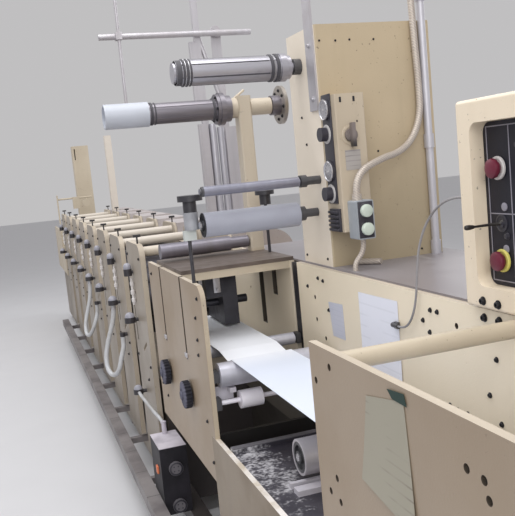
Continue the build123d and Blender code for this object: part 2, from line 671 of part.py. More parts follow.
# Rollers that carry the web, in bearing blocks on the inner faces of the plates
web_axis_z = web_top - web_thickness - seat_clearance - web_roller_radius
delivery_axis_z = web_top - web_thickness - seat_clearance - delivery_roller_radius
with BuildPart() as web_roller:
    rod_x(x_op_in + web_roller_end_gap, x_gear_in - web_roller_end_gap, web_roller_y, web_axis_z,
          web_roller_radius)
    rod_x(x_op_in + 1, x_gear_in - 1, web_roller_y, web_axis_z, journal_radius)
write(web_roller, "web_roller")
with BuildPart() as delivery_roller:
    rod_x(x_op_in + web_roller_end_gap, x_gear_in - web_roller_end_gap, delivery_roller_y, delivery_axis_z,
          delivery_roller_radius)
    rod_x(x_op_in + 1, x_gear_in - 1, delivery_roller_y, delivery_axis_z, journal_radius)
write(delivery_roller, "delivery_roller")
wheel_x = x_op_in + 84.0
with BuildPart() as nip_wheel:
    rod_x(wheel_x, wheel_x + nip_wheel_width, web_roller_y, nip_wheel_z, nip_wheel_radius)
    rod_x(x_op_in + 1, x_gear_in - 1, web_roller_y, nip_wheel_z, nip_shaft_radius)
write(nip_wheel, "nip_wheel")
drum_right = x_gear_in - 30.0
with BuildPart() as delivery_drum:
    rod_x(drum_right - drum_length, drum_right, drum_y, drum_z, drum_radius)
    rod_x(drum_right - drum_length, drum_right - 40, drum_y, drum_z, drum_radius - drum_shell, mode=Mode.SUBTRACT)
    rod_x(drum_right - drum_length + 12, x_gear_in - 1, drum_y, drum_z, 12)
write(delivery_drum, "delivery_drum")
lead_gland_y = y_delivery + 402.0
lead_gland_z = plate_top - 107.0
with BuildPart() as roller_bearings:
    for y, z, bore in ((web_roller_y, web_axis_z, journal_radius), (web_roller_y, nip_wheel_z, nip_shaft_radius),
                       (delivery_roller_y, delivery_axis_z, journal_radius)):
        for x0 in (x_op_in, x_gear_in - bearing_width):
            bearing(x0, x0 + bearing_width, y, z, bore + running_clearance, bearing_half)
    bearing(x_gear_in - bearing_width, x_gear_in, drum_y, drum_z, 12 + running_clearance, 30)
    bearing(x_gear_in - bearing_width, x_gear_in, die_slots[1], die_roller_z, journal_radius + running_clearance,
            bearing_half)
    rod_y(lead_gland_y, lead_gland_y + 30, x_gear_in - 9, lead_gland_z, 7)
    block(x_gear_in - 9, x_gear_in, lead_gland_y + 6, lead_gland_y + 24, lead_gland_z - 9, lead_gland_z + 9)
write(roller_bearings, "roller_bearings")

# White bracket beside the nip wheel, on its shaft's bearing plate, and two slats on the pan
with BuildPart() as web_brackets:
    block(x_op_in, wheel_x - 14, web_roller_y + bearing_half + 1, web_roller_y + bearing_half + 7,
          nip_wheel_z + 3, nip_wheel_z + 49)
    block(wheel_x - 35, wheel_x - 14, web_roller_y - bearing_half, web_roller_y + bearing_half + 7,
          nip_wheel_z + 33, nip_wheel_z + 49)
    block(x_op_in + 66, x_gear_in - 4, drum_y - 85, drum_y - 50, pan_top, pan_top + slat_height)
    block(x_op_in + 66, x_gear_in - 4, drum_y - 30, drum_y - 16, pan_top, pan_top + slat_height)
write(web_brackets, "web_brackets")

# The paper web: level in the die section, dipping before its roller, level to the delivery
with BuildPart() as paper_web:
    with BuildSketch(Plane.YZ.offset(web_edge)) as outline:
        with BuildLine():
            dip_y = web_roller_y + web_roller_radius + 5
            Polyline(
                (delivery_roller_y - 20, web_top), (web_roller_y + 12, web_top),
                (dip_y, web_top - web_dip), (dip_y + 14, web_top - web_dip), (dip_y + 110, web_top - 1),
                (web_start_y, web_top - 1), (web_start_y, web_top - 1 - web_thickness),
                (dip_y + 110, web_top - 1 - web_thickness), (dip_y + 14, web_top - web_dip - web_thickness),
                (dip_y, web_top - web_dip - web_thickness), (web_roller_y + 12, web_top - web_thickness),
                (delivery_roller_y - 20, web_top - web_thickness), close=True,
            )
        make_face()
    extrude(outline.sketch, amount=web_width)
write(paper_web, "paper_web")

# Print stations: a thick slotted plate on the operator's side, a plain one on the gear side
station_starts = [y_station + number * station_pitch for number in range(station_count)]
with BuildPart() as station_plates:
    for y0 in station_starts:
        y1 = y0 + station_plate_length
        with BuildSketch(Plane.YZ.offset(x_op_out)) as outline:
            with Locations(((y0 + y1) / 2, (station_plate_bottom + station_plate_top) / 2)):
                Rectangle(y1 - y0, station_plate_top - station_plate_bottom)
            fillet(outline.vertices().group_by(Axis.Y)[-1], 60)
            with Locations((y0 + knob_offset + 67, knob_z - 210)):
                Rectangle(18, 240, mode=Mode.SUBTRACT)
            with Locations(Location((y0 + 130, knob_z - 330), -28)):
                SlotOverall(110, 16, mode=Mode.SUBTRACT)
        extrude(outline.sketch, amount=station_plate)
        with BuildSketch(Plane.YZ.offset(x_gear_in)) as outline:
            with Locations(((y0 + y1) / 2, (station_bed_top + station_plate_top) / 2)):
                Rectangle(y1 - y0, station_plate_top - station_bed_top)
            fillet(outline.vertices().group_by(Axis.Y)[-1], 60)
        extrude(outline.sketch, amount=side_plate)
write(station_plates, "station_plates")
with BuildPart() as tee_handles:
    for y0 in station_starts:
        for x in (x_op_out + station_plate / 2, (x_gear_in + x_gear_out) / 2):
            rod_z(station_plate_top, station_plate_top + tee_handle_height, x, y0 + 95, 4)
            block(x - 17, x + 17, y0 + 88, y0 + 102, station_plate_top + tee_handle_height - 12,
                  station_plate_top + tee_handle_height)
write(tee_handles, "tee_handles")
with BuildPart() as print_cylinders:
    cylinder_z = station_plate_top - 280.0
    for y0 in station_starts:
        rod_x(x_op_out + station_plate, x_gear_in, y0 + station_plate_length / 2, cylinder_z, cylinder_radius)
        rod_x(x_op_out + station_plate, x_gear_in, y0 + station_plate_length / 2 + 60,
              cylinder_z - cylinder_radius - anilox_radius, anilox_radius)
write(print_cylinders, "print_cylinders")
with BuildPart() as station_covers:
    for y0 in station_starts:
        with BuildSketch(Plane.XZ.offset(-y0)) as outline:
            with BuildLine():
                cover_x0 = x_gear_out + 1
                cover_x1 = x_gear_out + station_house_width - 30
                cover_z1 = station_house_top + 110
                Line((cover_x0, station_house_top), (cover_x0, cover_z1))
                Line((cover_x0, cover_z1), (cover_x1 - 110, cover_z1))
                JernArc((cover_x1 - 110, cover_z1), (1, 0), 110, -90)
                Line((cover_x1, station_house_top), (cover_x0, station_house_top))
            make_face()
        extrude(outline.sketch, amount=-station_plate_length)
write(station_covers, "station_covers")

# Domed hand knobs on the stations, the hose domes under them and the hoses' lower elbows
knob_x = x_op_out - knob_reach
dome_x = x_op_out - dome_reach
hose_end_1 = (x_op_out - 26, y_station + 3 * station_pitch + knob_offset - 172, 750.0)
hose_end_2 = (x_op_out - 26, y_station + station_pitch + knob_offset - 148, 745.0)
low_dome_z = 545.0
with BuildPart() as station_knobs:
    for y0 in station_starts:
        knob_y = y0 + knob_offset
        rod_x(knob_x, x_op_out, knob_y, knob_z + 16, 8)
        rod_z(knob_z, knob_z + 36, knob_x, knob_y, knob_radius)
        with Locations((knob_x, knob_y, knob_z + 44)):
            Sphere(knob_radius - 1)
        rod_x(dome_x, x_op_out, knob_y, dome_z + 12, 9)
        rod_z(dome_z, dome_z + 24, dome_x, knob_y, dome_radius + 3)
        with Locations((dome_x, knob_y, dome_z + 28)):
            Sphere(dome_radius)
    low_y = y_station + knob_offset
    rod_x(dome_x, x_op_out, low_y, low_dome_z + 11, 9)
    rod_z(low_dome_z, low_dome_z + 22, dome_x, low_y, dome_radius)
    with Locations((dome_x, low_y, low_dome_z + 24)):
        Sphere(dome_radius - 3)
    for x, y, z in (hose_end_1, hose_end_2):
        rod_x(x, x_op_out, y, z + 11, 10)
        rod_z(z, z + 22, x, y, 15)
write(station_knobs, "station_knobs")

# Wireway along the foot of the stations
wireway_size = 58.0
wireway_z = 150.0
wireway_x = x_op_out - 120.0
wireway_near = y_die_near - 156.0
with BuildPart() as wireway:
    block(wireway_x, wireway_x + wireway_size, wireway_near, y_station_end, wireway_z, wireway_z + wireway_size)
    block(wireway_x + wireway_size, x_op_out, wireway_near + 50, wireway_near + 80, wireway_z + 10,
          wireway_z + 40)
    for y0 in station_starts:
        block(wireway_x + wireway_size, x_op_in + plinth_recess, y0 + 45, y0 + 75, wireway_z + 10,
              wireway_z + 40)
write(wireway, "wireway")

# Socket box standing on the sill of the open bay, with two sockets and a hose elbow
socket_x = x_op_out - 60.0
socket_y = base_far_start - 278.0
socket_top = 447.0
socket_length = 210.0
socket_elbow = (x_op_out + 4.0, socket_y + socket_length - 23.0)
with BuildPart() as socket_box:
    block(socket_x, socket_x + 117, socket_y, socket_y + socket_length, foot_height + sill_height, socket_top)
    for z in (socket_top - 94, socket_top - 261):
        rod_y(socket_y - 14, socket_y, socket_x + 62, z, 30)
    rod_z(socket_top, socket_top + 56, socket_elbow[0], socket_elbow[1], 11)
    rod_y(socket_elbow[1], socket_elbow[1] + 24, socket_elbow[0], socket_top + 45, 10)
write(socket_box, "socket_box")

# Ink and air hoses hanging from the hose domes
hose_radius = 13.0
dome_y_1 = y_station + 3 * station_pitch + knob_offset
dome_y_2 = y_station + station_pitch + knob_offset
with BuildPart() as hose_1:
    tube([(dome_x, dome_y_1, dome_z), (dome_x, dome_y_1, 850), (-439, dome_y_1 - 4, 785),
          (-460, dome_y_1 - 8, 712), (-484, dome_y_1 - 14, 644),
          (-501, dome_y_1 - 42, 578), (-500, dome_y_1 - 96, 532), (-482, dome_y_1 - 152, 542),
          (-458, dome_y_1 - 182, 594), (-432, dome_y_1 - 180, 650),
          (hose_end_1[0], hose_end_1[1], 704), hose_end_1], hose_radius, "hose 1")
write(hose_1, "hose_1")
with BuildPart() as hose_2:
    tube([(dome_x, dome_y_2, dome_z), (dome_x, dome_y_2, 855), (-452, dome_y_2 - 4, 780),
          (-482, dome_y_2 - 6, 702),
          (-503, dome_y_2 - 9, 625), (-507, dome_y_2 - 40, 554), (-487, dome_y_2 - 106, 524),
          (-458, dome_y_2 - 166, 562), (-440, dome_y_2 - 174, 638),
          (-420, dome_y_2 - 156, 682), (hose_end_2[0], hose_end_2[1], 712), hose_end_2], hose_radius, "hose 2")
write(hose_2, "hose_2")
thin_hose_radius = 8.0
with BuildPart() as hose_3:
    low_outlet = low_dome_z + 11
    tube([(dome_x, low_y - dome_radius, low_outlet), (dome_x, low_y - dome_radius - 38, low_outlet),
          (-425, low_y - 121, 548), (-413, low_y - 183, 531), (-402, low_y - 246, 513),
          (socket_elbow[0] - 3, socket_elbow[1] + 92, socket_top + 50),
          (socket_elbow[0], socket_elbow[1] + 58, socket_top + 45),
          (socket_elbow[0], socket_elbow[1] + 24, socket_top + 45)], thin_hose_radius, "hose 3")
write(hose_3, "hose_3")

# Thin lead from the console down to its gland on the gear-side plate
lead_radius = 3.0
with BuildPart() as console_lead:
    tube([(78, console_far, 1475), (78, console_far + 40, 1475), (74, console_far + 99, 1479),
          (62, console_far + 154, 1462),
          (48, console_far + 199, 1415), (38, console_far + 226, 1350), (34, console_far + 234, 1282),
          (32, console_far + 242, 1225), (31, console_far + 259, 1180),
          (x_gear_in - 9, lead_gland_y - 63, 1146), (x_gear_in - 9, lead_gland_y - 30, lead_gland_z),
          (x_gear_in - 9, lead_gland_y, lead_gland_z)], lead_radius, "console lead")
write(console_lead, "console_lead")

# Unwind: side plates, a wide column, a slim post, and a sensor rod on a short post
guide_post_y = y_station_end - station_plate_length - 198
with BuildPart() as unwind_frame:
    for x0 in (x_op_out, x_gear_in):
        block(x0, x0 + side_plate, unwind_y, y_far - 20, station_bed_top, unwind_plate_top)
    column_y = y_far - 620.0
    column_top = station_house_top + 805.0
    block(x_web + 26, x_gear_in - 7, column_y, column_y + 140, station_bed_top, column_top)
    block(x_web + 44, x_web + 56, column_y, column_y + 140, column_top - 150, column_top - 30,
          mode=Mode.SUBTRACT)
    block(x_gear_out - 1, x_gear_out + 59, guide_post_y, guide_post_y + 80, station_house_top, station_house_top + 825)
    sensor_y = unwind_y + 90.0
    sensor_z = station_house_top + 250.0
    block(x_op_out - 12, x_op_out, sensor_y - 20, sensor_y + 20, station_bed_top + 200, sensor_z + 45)
    rod_x(x_op_out - 12, x_gear_in - 84, sensor_y, sensor_z, 9)
    block(x_web - 75, x_web - 7, sensor_y - 20, sensor_y + 20, sensor_z - 110, sensor_z + 12)
    rod_y(sensor_y - 14, sensor_y + 14, x_web + 63, sensor_z - 60, 38)
    rod_z(sensor_z - 40, sensor_z, x_web + 63, sensor_y, 7)
write(unwind_frame, "unwind_frame")

# Overhead frame: a square post, a flat post with a rounded top, a long cross pole, a pole
# hanging from it, a green post and a grey sheet beside the air ducts
pole_radius = 15.0
hanger_radius = 8.0
post_y = y_station + station_plate_length + 59
pole_z = overhead_top - 323.0
flat_post_top = overhead_top - 307.0
with BuildPart() as overhead_frame:
    block(x_gear_out + 24, x_gear_out + 54, post_y - 15, post_y + 15, station_house_top, overhead_top)
    with BuildSketch(Plane.XZ.offset(-post_y + 6)) as outline:
        with Locations((x_gear_out + 140, (station_house_top + flat_post_top) / 2)):
            Rectangle(50, flat_post_top - station_house_top)
        with Locations((x_gear_out + 140, flat_post_top)):
            Circle(25)
            Circle(8, mode=Mode.SUBTRACT)
    extrude(outline.sketch, amount=-12)
    bar_between((x_gear_out + 50, post_y, pole_z - 20), (x_gear_out + 128, post_y, pole_z - 300), 12)
    rod_x(x_op_out - 11, x_gear_out + 318, post_y - 13 - pole_radius, pole_z, pole_radius)
    rod_x(x_gear_out + 128, x_gear_out + 152, post_y - 20, pole_z, pole_radius + 4)
    rod_z(pole_z - 324, overhead_top, x_op_out + 85, post_y - 11 - 2 * pole_radius - hanger_radius, hanger_radius)
    block(x_op_out + 70, x_op_out + 100, post_y - 62, post_y - 12, pole_z - 18, pole_z + 18)
    for z in (pole_z - 82, pole_z - 298):
        block(x_gear_out - 4, x_gear_out + 24, post_y - 14, post_y + 14, z - 45, z + 45)
    block(x_gear_out - 6, x_gear_out + 42, post_y - 45, post_y - 15, station_house_top, station_house_top + 648)
    block(x_gear_out + 127, x_gear_out + 240, post_y - 56, post_y - 50, station_house_top, station_house_top + 625)
write(overhead_frame, "overhead_frame")

# Silver air ducts standing beside the green post
with BuildPart() as air_ducts:
    duct_top = station_house_top + 645.0
    rod_z(station_house_top, duct_top, x_gear_out + 66, post_y - 36, 18)
    rod_z(station_house_top, duct_top - 20, x_gear_out + 106, post_y - 36, 17)
write(air_ducts, "air_ducts")

# Oilers: one on the operator's die plate with its clip and sight glass, one on the bridge plate
oiler_y = y_die_near + 104.0
oiler_x = x_op_out + 21.0
with BuildPart() as guide_stand:
    rod_z(plate_top, plate_top + 142, x_op_out + 9, oiler_y, 6)
    block(x_op_out - 9, oiler_x + 11, oiler_y - 10, oiler_y + 10, plate_top + 140, plate_top + 174)
    rod_z(plate_top + 174, plate_top + 231, oiler_x, oiler_y, 24)
    rod_z(plate_top + 231, plate_top + 267, oiler_x, oiler_y, 22)
    rod_z(plate_top + 267, plate_top + 286, oiler_x + 3, oiler_y, 41)
    bridge_top = plate_top + bridge_thickness
    far_oiler_y = die_gear_near + 219.0
    rod_z(bridge_top, bridge_top + 191, x_gear_in, far_oiler_y, 6)
    rod_z(bridge_top + 191, bridge_top + 230, x_gear_in, far_oiler_y, 22)
    rod_z(bridge_top + 230, bridge_top + 246, x_gear_in, far_oiler_y, 38)
write(guide_stand, "guide_stand")
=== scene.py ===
import math

import bpy
from mathutils import Matrix, Vector


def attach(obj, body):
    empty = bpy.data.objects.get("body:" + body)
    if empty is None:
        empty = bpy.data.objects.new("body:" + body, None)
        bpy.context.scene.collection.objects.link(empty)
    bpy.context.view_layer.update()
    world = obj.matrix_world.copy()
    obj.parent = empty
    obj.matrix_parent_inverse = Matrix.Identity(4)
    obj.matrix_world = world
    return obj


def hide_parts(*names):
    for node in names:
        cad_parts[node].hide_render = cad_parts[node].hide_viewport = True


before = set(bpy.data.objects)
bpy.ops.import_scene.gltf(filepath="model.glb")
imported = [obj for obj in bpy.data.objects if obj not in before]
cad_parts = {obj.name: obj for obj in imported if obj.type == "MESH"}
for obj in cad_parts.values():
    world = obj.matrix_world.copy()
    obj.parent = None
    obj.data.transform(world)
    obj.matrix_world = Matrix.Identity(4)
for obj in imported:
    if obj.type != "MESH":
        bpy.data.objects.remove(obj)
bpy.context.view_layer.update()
scene = bpy.context.scene
scene.view_settings.view_transform = "Standard"


# Camera: stands beyond the delivery end on the operator's side, looking along the press.
# It is turned 18 degrees to the right of the press's length, tips down 7 and leans 5.5.
CAMERA_PLACE = (-0.94, -4.8, 1.6)
CAMERA_YAW = math.radians(18.0)
CAMERA_PITCH = math.radians(7.0)
CAMERA_ROLL = math.radians(5.5)
FOCAL_PIXELS = 760.0
IMAGE_WIDTH = 515.0
camera_data = bpy.data.cameras.new("camera")
camera_data.sensor_width = 36.0
camera_data.lens = FOCAL_PIXELS * camera_data.sensor_width / IMAGE_WIDTH
camera = bpy.data.objects.new("camera", camera_data)
scene.collection.objects.link(camera)
camera.matrix_world = (
    Matrix.Translation(CAMERA_PLACE)
    @ Matrix.Rotation(-CAMERA_YAW, 4, "Z")
    @ Matrix.Rotation(math.radians(90.0) - CAMERA_PITCH, 4, "X")
    @ Matrix.Rotation(-CAMERA_ROLL, 4, "Z")
)
scene.camera = camera


# Ink and air hoses: clear-white plastic tube pushed over the hose domes. They hang in loops and
# come back up to low fittings; the thin one runs on to the elbow of the socket box.
class Wire:
    """A socket of a finish. Arithmetic on it adds Math nodes to that finish."""

    def __init__(self, finish, socket):
        self.finish = finish
        self.socket = socket

    def sum(self, operation, first, second):
        return self.finish.node("ShaderNodeMath", {"operation": operation}, {0: first, 1: second})

    def __add__(self, other):
        return self.sum("ADD", self, other)

    def __sub__(self, other):
        return self.sum("SUBTRACT", self, other)

    def __rsub__(self, other):
        return self.sum("SUBTRACT", other, self)

    def __mul__(self, other):
        return self.sum("MULTIPLY", self, other)

    def __gt__(self, other):
        return self.sum("GREATER_THAN", self, other)

    def __lt__(self, other):
        return self.sum("LESS_THAN", self, other)

    def __mod__(self, other):
        return self.sum("FLOORED_MODULO", self, other)

    __radd__ = __add__
    __rmul__ = __mul__

    def between(self, low, high):
        return (self > low) * (self < high)


class Finish:
    """One of the press's finishes: a material whose nodes all come from one method."""

    def __init__(self, name, roughness, metallic=0.0):
        self.material = bpy.data.materials.new(name)
        self.material.use_nodes = True
        self.shader = self.material.node_tree.nodes["Principled BSDF"]
        self.shader.inputs["Roughness"].default_value = roughness
        self.shader.inputs["Metallic"].default_value = metallic
        self.place = self.node("ShaderNodeTexCoord", {}, {}, "Object")
        split = self.node("ShaderNodeSeparateXYZ", {}, {0: self.place})
        self.x, self.y, self.z = (Wire(self, output) for output in split.socket.node.outputs)

    def node(self, kind, settings, values, output=0):
        made = self.material.node_tree.nodes.new(kind)
        for name, value in settings.items():
            setattr(made, name, value)
        for name, value in values.items():
            self.feed(made.inputs[name], value)
        return Wire(self, made.outputs[output])

    def feed(self, socket, value):
        if isinstance(value, Wire):
            self.material.node_tree.links.new(value.socket, socket)
        elif socket.type == "RGBA":
            socket.default_value = (*value, 1.0)
        else:
            socket.default_value = value

    def noise(self, scale, detail=3.0, stretch=(1.0, 1.0, 1.0)):
        moved = self.node("ShaderNodeMapping", {}, {"Vector": self.place, "Scale": stretch})
        return self.node("ShaderNodeTexNoise", {}, {"Vector": moved, "Scale": scale, "Detail": detail})

    def rise(self, value, low, high):
        return self.node("ShaderNodeMapRange", {"interpolation_type": "SMOOTHSTEP"},
                         {"Value": value, "From Min": low, "From Max": high})

    def patches(self, low, high, scale, detail=3.0, stretch=(1.0, 1.0, 1.0)):
        return self.rise(self.noise(scale, detail, stretch), low, high)

    def blend(self, mask, first, second):
        return self.node("ShaderNodeMix", {"data_type": "RGBA"}, {0: mask, 6: first, 7: second}, 2)

    def paint(self, colour):
        self.shade = colour
        self.feed(self.shader.inputs["Base Color"], colour)

    def mottle(self, mask, first, second):
        self.paint(self.blend(mask, first, second))

    def cover(self, mask, colour):
        """Lays a colour over the paint so far, where the mask is 1."""
        self.mottle(mask, self.shade, colour)

    def relief(self, height, depth):
        raised = self.node("ShaderNodeBump", {}, {"Height": height, "Distance": depth, "Strength": 1.0},
                           "Normal")
        self.feed(self.shader.inputs["Normal"], raised)

    def gloss(self, value):
        self.feed(self.shader.inputs["Roughness"], value)


def moulded(name, colour, soiled, roughness=0.42, soil=0.5, grain=420.0):
    """Moulded plastic or rubber: cloudy soiling, a fine grain and slightly uneven gloss."""
    finish = Finish(name, roughness)
    cloud = finish.patches(0.38, 0.72, 11.0, 5.0)
    finish.mottle(cloud * soil, colour, soiled)
    finish.gloss(cloud * 0.18 + roughness)
    finish.relief(finish.noise(grain, 2.0), 0.0003)
    return finish


def cord(name, points, radius, finish):
    """A hose or lead through its route's points, standing for the CAD node of the same name."""
    curve = bpy.data.curves.new(name + "_tube", "CURVE")
    curve.dimensions = "3D"
    curve.bevel_depth = radius
    curve.bevel_resolution = 5
    curve.resolution_u = 10
    curve.use_fill_caps = True
    line = curve.splines.new("NURBS")
    line.points.add(len(points) - 1)
    for point, place in zip(line.points, points):
        point.co = (*place, 1.0)
    line.order_u = 3
    line.use_endpoint_u = True
    curve.materials.append(finish.material)
    piece = bpy.data.objects.new(name + "_tube", curve)
    scene.collection.objects.link(piece)
    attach(piece, "frame")
    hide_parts(name)


hose_plastic = moulded("hose_plastic", (0.52, 0.53, 0.55), (0.35, 0.34, 0.33), 0.32, 0.7, 160.0)
HOSE_RADIUS = 0.013
cord("hose_1", [
    (-0.43, 0.646, 0.9), (-0.43, 0.646, 0.85), (-0.439, 0.642, 0.785), (-0.46, 0.638, 0.712),
    (-0.484, 0.632, 0.644), (-0.501, 0.604, 0.578), (-0.5, 0.55, 0.532), (-0.482, 0.494, 0.542),
    (-0.458, 0.464, 0.594), (-0.432, 0.466, 0.65), (-0.416, 0.474, 0.704), (-0.416, 0.474, 0.75)],
    HOSE_RADIUS, hose_plastic)
cord("hose_2", [
    (-0.43, -0.554, 0.9), (-0.43, -0.554, 0.855), (-0.452, -0.558, 0.78), (-0.482, -0.56, 0.702),
    (-0.503, -0.563, 0.625), (-0.507, -0.594, 0.554), (-0.487, -0.66, 0.524), (-0.458, -0.72, 0.562),
    (-0.44, -0.728, 0.638), (-0.42, -0.71, 0.682), (-0.416, -0.702, 0.712), (-0.416, -0.702, 0.745)],
    HOSE_RADIUS, hose_plastic)
cord("hose_3", [
    (-0.43, -1.178, 0.556), (-0.43, -1.216, 0.556), (-0.425, -1.275, 0.548), (-0.413, -1.337, 0.531),
    (-0.402, -1.4, 0.513), (-0.389, -1.421, 0.497), (-0.386, -1.455, 0.492), (-0.386, -1.489, 0.492)],
    0.008, hose_plastic)


# Thin grey lead of the console: leaves its far side, sags over the deck's edge and ends in a
# small gland on the gear-side plate.
lead_rubber = moulded("lead_rubber", (0.3, 0.29, 0.3), (0.16, 0.15, 0.15), 0.5, 0.6)
cord("console_lead", [
    (0.078, -3.334, 1.475), (0.078, -3.294, 1.475), (0.074, -3.235, 1.479), (0.062, -3.18, 1.462),
    (0.048, -3.135, 1.415), (0.038, -3.108, 1.35), (0.034, -3.1, 1.282), (0.032, -3.092, 1.225),
    (0.031, -3.075, 1.18), (0.031, -3.048, 1.146), (0.031, -3.015, 1.128), (0.031, -2.985, 1.128)],
    0.003, lead_rubber)


# Studio: a pale floor and wide soft lamps on both sides and above, with a pale world.
# Nothing here is part of the press.
bpy.ops.mesh.primitive_plane_add(size=60.0, location=(0.0, 0.0, -0.001))
floor = bpy.context.object
floor.name = "studio_floor"
floor_look = Finish("pale_floor", 0.8)
floor_look.mottle(floor_look.noise(3.0), (0.6, 0.6, 0.62), (0.64, 0.64, 0.66))
floor.data.materials.append(floor_look.material)
world = bpy.data.worlds.new("soft_room")
world.use_nodes = True
backdrop = world.node_tree.nodes["Background"]
backdrop.inputs["Color"].default_value = (0.88, 0.87, 0.88, 1.0)
backdrop.inputs["Strength"].default_value = 0.6
scene.world = world
for place, aim, size, power in (
    ((-1.8, -8.4, 3.8), (0.1, -2.2, 1.0), 4.5, 200.0),
    ((-0.6, -2.6, 5.4), (0.1, -2.2, 0.8), 4.0, 170.0),
    ((-2.4, 3.0, 5.0), (0.0, 2.0, 0.9), 4.0, 110.0),
    ((4.5, 1.0, 4.0), (0.0, 0.0, 0.9), 4.0, 120.0),
):
    lamp_data = bpy.data.lights.new("soft_lamp", "AREA")
    lamp_data.size = size
    lamp_data.energy = power
    lamp = bpy.data.objects.new("soft_lamp", lamp_data)
    scene.collection.objects.link(lamp)
    lamp.location = place
    lamp.rotation_euler = (Vector(aim) - Vector(place)).to_track_quat("-Z", "Y").to_euler()


# Beds, sills and housings: folded steel sheet in cream enamel, soiled and dark low down; the sill is near
# black within the bay. Painted shade fills the pit between the plates and the housings' faces behind the
# plates. The housings' sheets meet in thin joints at every station's pitch.
def enamel(name, colour, soiled, soil=0.55, joint=0.0, first_joint=0.0):
    """Cream enamel on steel: clouds of grime, thin runs downwards, fine specks, chips and gloss."""
    finish = Finish(name, 0.42)
    cloud = finish.patches(0.36, 0.7, 2.6, 6.0)
    runs = finish.patches(0.52, 0.74, 16.0, 4.0, (1.0, 1.0, 0.1))
    specks = finish.patches(0.7, 0.76, 105.0, 2.0)
    finish.mottle(cloud * soil, colour, soiled)
    finish.cover(runs * 0.28, soiled)
    finish.cover(specks * 0.65, (0.13, 0.1, 0.075))
    height = finish.noise(190.0, 2.0) * 0.6 - specks
    if joint:
        gap = ((finish.y - first_joint) % joint) < 0.004
        finish.cover(gap * 0.8, (0.08, 0.065, 0.05))
        height = height - gap * 6.0
    finish.gloss(cloud * 0.2 + 0.36)
    finish.relief(height, 0.0004)
    return finish


def dress(finish, *nodes):
    """Gives CAD nodes a finish in place of the plain one they came with."""
    for name in nodes:
        for material_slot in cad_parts[name].material_slots:
            material_slot.material = finish.material


EDGE_CREAM = (0.53, 0.46, 0.37)
BED_DARK = (0.06, 0.05, 0.045)
RECESS_SHADE = (0.014, 0.012, 0.012)
bed_enamel = enamel("bed_enamel", (0.235, 0.18, 0.12), (0.15, 0.115, 0.08))
top_face = bed_enamel.z > 0.7345
dust = bed_enamel.patches(0.35, 0.65, 14.0, 5.0)
bed_enamel.cover(top_face, bed_enamel.blend(dust, EDGE_CREAM, (0.78, 0.74, 0.71)))
# Painted shade: the pit between the plates is painted near black.
in_pit = bed_enamel.x.between(-0.3745, 0.0405) * bed_enamel.y.between(-2.606, -2.42)
bed_enamel.cover(in_pit, RECESS_SHADE)
low_down = bed_enamel.rise(0.52 - bed_enamel.z, 0.0, 0.3)
bed_enamel.cover(low_down * 0.45, BED_DARK)
dress(bed_enamel, "base_near")
sill_enamel = enamel("sill_enamel", (0.25, 0.21, 0.165), (0.12, 0.1, 0.085))
within_bay = sill_enamel.y < -1.4
sill_enamel.cover(within_bay * 0.85, (0.035, 0.03, 0.035))
dress(sill_enamel, "base_far")
STATION_PITCH = 0.6
FIRST_STATION = -1.402
housing_enamel = enamel("housing_enamel", (0.5, 0.42, 0.31), (0.36, 0.3, 0.22), 0.6, STATION_PITCH,
                        FIRST_STATION)
# Painted shade: the housings' faces behind the plates, seen through the plates' windows, are painted near
# black.
shade_behind_plates = housing_enamel.x < 0.0575
housing_enamel.cover(shade_behind_plates * 0.95, RECESS_SHADE)
dress(housing_enamel, "gear_housing", "station_housing")


# Levelling feet: turned steel pads and threaded stems, dull and oily, screwed into the beds.
def bare_metal(name, colour, soiled, roughness=0.32, brushed=(1.0, 1.0, 1.0), soil=0.6, scale=40.0,
               metallic=0.7):
    """Bare metal: brushed streaks, clouds of oil and uneven gloss."""
    finish = Finish(name, roughness, metallic)
    streaks = finish.noise(scale, 4.0, brushed)
    cloud = finish.patches(0.4, 0.72, 7.0, 5.0)
    finish.mottle(streaks, colour, tuple(0.72 * part for part in colour))
    finish.cover(cloud * soil, soiled)
    finish.gloss(cloud * 0.25 + streaks * 0.12 + roughness - 0.06)
    finish.relief(streaks, 0.0002)
    return finish


oily_steel = bare_metal("oily_steel", (0.36, 0.35, 0.37), (0.15, 0.13, 0.12), 0.4)
dress(oily_steel, "levelling_feet")


# Drip pan between the side plates: dark painted sheet, dusted with pale paper flecks that lie
# thickest along its operator's edge.
pan_paint = Finish("pan_paint", 0.5)
cloud = pan_paint.patches(0.36, 0.7, 9.0, 5.0)
pan_paint.mottle(cloud, (0.03, 0.027, 0.038), (0.062, 0.057, 0.072))
swept = pan_paint.rise(-0.17 - pan_paint.x, 0.0, 0.14)
swept = swept * pan_paint.rise(pan_paint.y, -3.25, -2.85)
grain = pan_paint.noise(95.0, 5.0) * 0.4 + swept * 0.19 + pan_paint.noise(24.0, 4.0) * 0.45
flecks = pan_paint.rise(grain, 0.545, 0.72)
pan_paint.cover(flecks * 0.85, (0.6, 0.59, 0.62))
pan_paint.cover(pan_paint.z > 0.7425, (0.12, 0.115, 0.13))
pan_paint.relief(flecks + cloud * 0.3, 0.0005)
dress(pan_paint, "drip_pan")


# Side plates of delivery and die section: 16 mm steel in cream enamel with worn, bright edges, carrying
# rollers and ties. The operator's outer faces are taupe from grime and painted shade; the gear plates' faces
# towards the operator are painted paler as painted light. Painted shade darkens the bores and slots, and the
# gear plate beside the pit.
# Painted shade: the walls of the plates' bores and slots are painted dark.
BORE_RADIUS = 0.0074
BORE_SHADE = (0.035, 0.026, 0.02)


